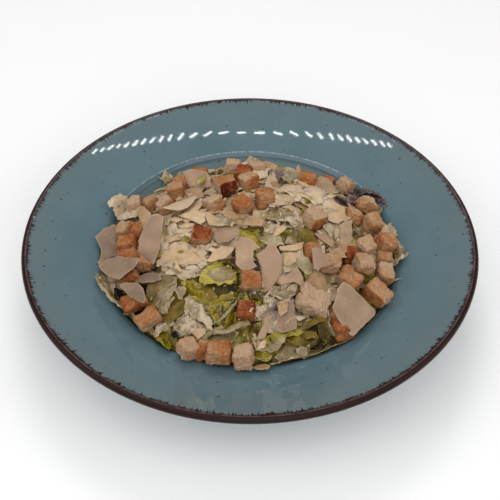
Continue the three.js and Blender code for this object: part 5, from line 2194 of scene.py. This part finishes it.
    def lay_scrap(self, place: Point, rule: Scatter, kind: Kind, tone: float, draw: random.Random) -> None:
        """Lays one small torn sheet, turned and tilted at random.

        Args:
            place: Its middle in plan.
            rule: The rule that it follows.
            kind: Its kind.
            tone: Its shade.
            draw: Source of its form.
        """
        habit = HABITS[kind]
        core_radius = self.ground.heap.core_radius
        freedom = min(1.0, max(0.2, (core_radius - math.hypot(*place)) / self.calm_edge))
        low, high = rule.longest
        long = low + (high - low) * draw.random() ** 1.6
        wide = min(draw.uniform(*rule.widest), long)
        limit = core_radius + rule.beyond - (0.9 * long if place[1] > self.far_from else 0.0)
        shrink = min(1.0, limit / math.hypot(*place))
        place = (place[0] * shrink, place[1] * shrink)
        count = draw.randint(4, 7)
        start = draw.uniform(0, 2 * math.pi)
        corners = []
        for i in range(count):
            angle = start + 2 * math.pi * (i + draw.uniform(-0.3, 0.3)) / count
            reach = draw.uniform(0.7, 1.15)
            corners.append((long * reach * math.cos(angle), wide * reach * math.sin(angle)))
        seed = draw.randrange(1000)
        ragged = min(habit.ragged * MM, wide * 0.2)
        cut = cut_out(np.array(corners), rule.step, ragged, seed, draw)
        if not len(cut.triangles):
            return
        curl = draw.uniform(-0.3, 0.7) / self.curl_radius
        scale = min(1.0, long / self.full_length)
        rise, crest = habit.heights(cut, seed)
        rise = rise * scale * 0.7 + curl * cut.points[:, 1] ** 2
        turn = draw.uniform(0, 2 * math.pi)
        tilt = math.radians(draw.uniform(-rule.tilt, rule.tilt)) * freedom
        pitch = math.radians(draw.uniform(-rule.tilt, rule.tilt)) * 0.5 * freedom
        spin = Matrix.Rotation(turn, 3, "Z") @ Matrix.Rotation(pitch, 3, "Y") @ Matrix.Rotation(tilt, 3, "X")
        moved = np.column_stack([cut.points, rise]) @ np.array(spin).T
        moved[:, :2] += place
        low, high = rule.lift
        lift = low + (high - low) * draw.random() * freedom
        moved[:, 2] += self.ground.height(moved[:, 0], moved[:, 1]) + lift
        middle = self.ground.settle(moved)
        thickness = habit.thickness * MM * 0.8
        self.meshes[kind].add(cut, middle, thickness, tone, crest, cut.points * FIBRES + (seed, 0))

    @staticmethod
    def choose_leaf(x: float, y: float, draw: random.Random) -> tuple[Kind, float]:
        """Chooses a flake where there is much cheese, else a cut leaf.

        Args:
            x: The place in plan, from left to right.
            y: The same place, from near to far.
            draw: Source of the choice.

        Returns:
            The kind and the tone.
        """
        cream = float(Heap.creaminess(np.array(x), np.array(y)))
        pick = draw.random()
        if pick < cream * 0.95:
            kind = FLAKE if draw.random() < 0.7 else DRESSED
            return kind, draw.uniform(0.6, 1.1)
        pick = draw.random()
        leaves = ((0.42, GREEN, 0.1, 1.3), (0.6, OLIVE, 0.2, 1.0), (0.78, PALE, 0.1, 0.9),
                  (0.79, PURPLE, 0.2, 1.0), (1.0, DRESSED, 0.2, 0.9))
        kind, *tones = next(leaf for share, *leaf in leaves if pick < share)
        return kind, draw.uniform(*tones)

    def choose_back(self, x: float, y: float, draw: random.Random) -> tuple[Kind, float] | None:
        """Chooses a leaf for the far slope and the right edge.

        Args:
            x: The place in plan, from left to right.
            y: The same place, from near to far.
            draw: Source of the choice.

        Returns:
            The kind and the tone, or None elsewhere.
        """
        pick, tone = draw.random(), draw.uniform(0.4, 1.2)
        right_edge = math.hypot(x, y) >= 78 * MM and x >= 50 * MM and y >= -22 * MM
        if y < self.slope_from and not right_edge:
            return None
        leaves = ((0.34, PALE), (0.62, GREEN), (0.88, DRESSED), (1.0, OLIVE))
        return next(kind for share, kind in leaves if pick <= share), tone

    @staticmethod
    def choose_flake(x: float, y: float, draw: random.Random) -> tuple[Kind, float] | None:
        """Chooses flakes, close over the middle and the far side and few near the front.

        Args:
            x: The place in plan, from left to right.
            y: The same place, from near to far.
            draw: Source of the choice.

        Returns:
            The kind and the tone, or None for a bare place.
        """
        cover = 0.95 if y > -24 * MM and x < 52 * MM else 0.3
        if math.hypot(x, y) > 82 * MM:
            cover *= 0.4
        return (FLAKE, draw.uniform(0.3, 1.0)) if draw.random() < cover else None


# --- studio


@dataclass
class Studio:
    """Pale floor, soft light and the camera, in metres and watts."""

    view: View
    row_height: float = 1.5
    row_distance: float = 0.387
    row_slant: float = 74.0
    strip_width: float = 0.008
    strip_power: float = 0.026
    surround: float = 0.28

    def build(self) -> None:
        """Sets up everything that is not part of the object."""
        deselect()
        bpy.ops.mesh.primitive_plane_add(size=6, location=(0, 0, 0))
        floor = bpy.context.object
        floor.name = "floor"
        floor.data.materials.append(FloorFinish().material())
        self.world()
        self.aimed_lamp("overhead", (-0.1, -0.5, 1.4), (0, 0, 0), (2.1, 1.4), 11.0)
        self.aimed_lamp("front", (0.3, -1.6, 0.9), (0, 0, 0.02), (1.8, 0.9), 8.5)
        self.aimed_lamp("back", (0.0, 1.08, 1.46), (0, 0, 0), (0.74, 0.5), 6.5)
        self.aimed_lamp("left", (-1.6, -0.3, 1.1), (0, 0, 0), (1.0, 1.0), 5.5)
        self.aimed_lamp("right", (1.6, -0.3, 1.1), (0, 0, 0), (1.0, 1.0), 5.0)
        self.lamp_row()
        self.view.camera()

    def world(self) -> None:
        """An even pale surround."""
        world = bpy.data.worlds.new("soft_room")
        bpy.context.scene.world = world
        world.use_nodes = True
        ground = world.node_tree.nodes["Background"]
        ground.inputs["Color"].default_value = (1.0, 1.0, 1.0, 1.0)
        ground.inputs["Strength"].default_value = self.surround

    def lamp_row(self) -> None:
        """A row of strip lamps that mirrors in the far flange as a bowed line of slanting dashes."""
        offset, step, number = 0.03, 0.062, 0
        while offset < 0.55:
            outwards = min(1.0, offset / 0.24)
            slant = math.radians(self.row_slant) * outwards
            length = 0.028 + 0.016 * outwards
            for side, bow, reach in ((1, 1.12, 0.55), (-1, 0.98, 0.5)):
                if offset <= reach:
                    number += 1
                    place = (side * offset, self.row_distance + bow * offset * offset, self.row_height)
                    size = (length, self.strip_width)
                    self.lamp(f"row_{number:02d}", place, (0, 0, side * slant), size, self.strip_power)
            offset += step
            step = max(0.028, step * 0.88)

    def aimed_lamp(self, name: str, place: Place, aim: Place, size: Point, power: float) -> None:
        """A flat lamp that is pointed at a place, aim."""
        turn = (Vector(aim) - Vector(place)).to_track_quat("-Z", "Y").to_euler()
        self.lamp(name, place, turn, size, power)

    @staticmethod
    def lamp(name: str, place: Place, turn: Sequence[float], size: Point, power: float) -> None:
        """A flat lamp.

        Args:
            name: Its name.
            place: Where it hangs.
            turn: Its turn about the three axes; without one it shines straight down.
            size: Its two sides.
            power: Its power.
        """
        bpy.ops.object.light_add(type="AREA", location=place, rotation=turn)
        lamp = bpy.context.object
        lamp.name = name
        lamp.data.shape = "RECTANGLE"
        lamp.data.size, lamp.data.size_y = size
        lamp.data.energy = power


# --- the whole


def topping_tree() -> BVHTree:
    """Gathers the solids of the croutons and shavings.

    Returns:
        One search tree over them all.
    """
    vertices: list[Vector] = []
    faces: list[tuple[int, ...]] = []
    for name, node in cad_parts.items():
        if name in ("plate", "salad"):
            continue
        base = len(vertices)
        vertices += [vertex.co.copy() for vertex in node.data.vertices]
        faces += [tuple(base + i for i in polygon.vertices) for polygon in node.data.polygons]
    return BVHTree.FromPolygons(vertices, faces)


def main() -> None:
    """Builds the salad and its setting."""
    logging.basicConfig(level=logging.INFO, format="%(name)s: %(message)s")
    bpy.context.scene.view_settings.view_transform = "Standard"
    view = View()
    ground = Ground(PlateForm(), HeapForm(), view, topping_tree())
    Plate(ground.plate).build()
    Heap(ground).build()
    Croutons().build(ground)
    CheeseShavings(view).build()
    Studio(view).build()


if __name__ == "__main__":
    main()
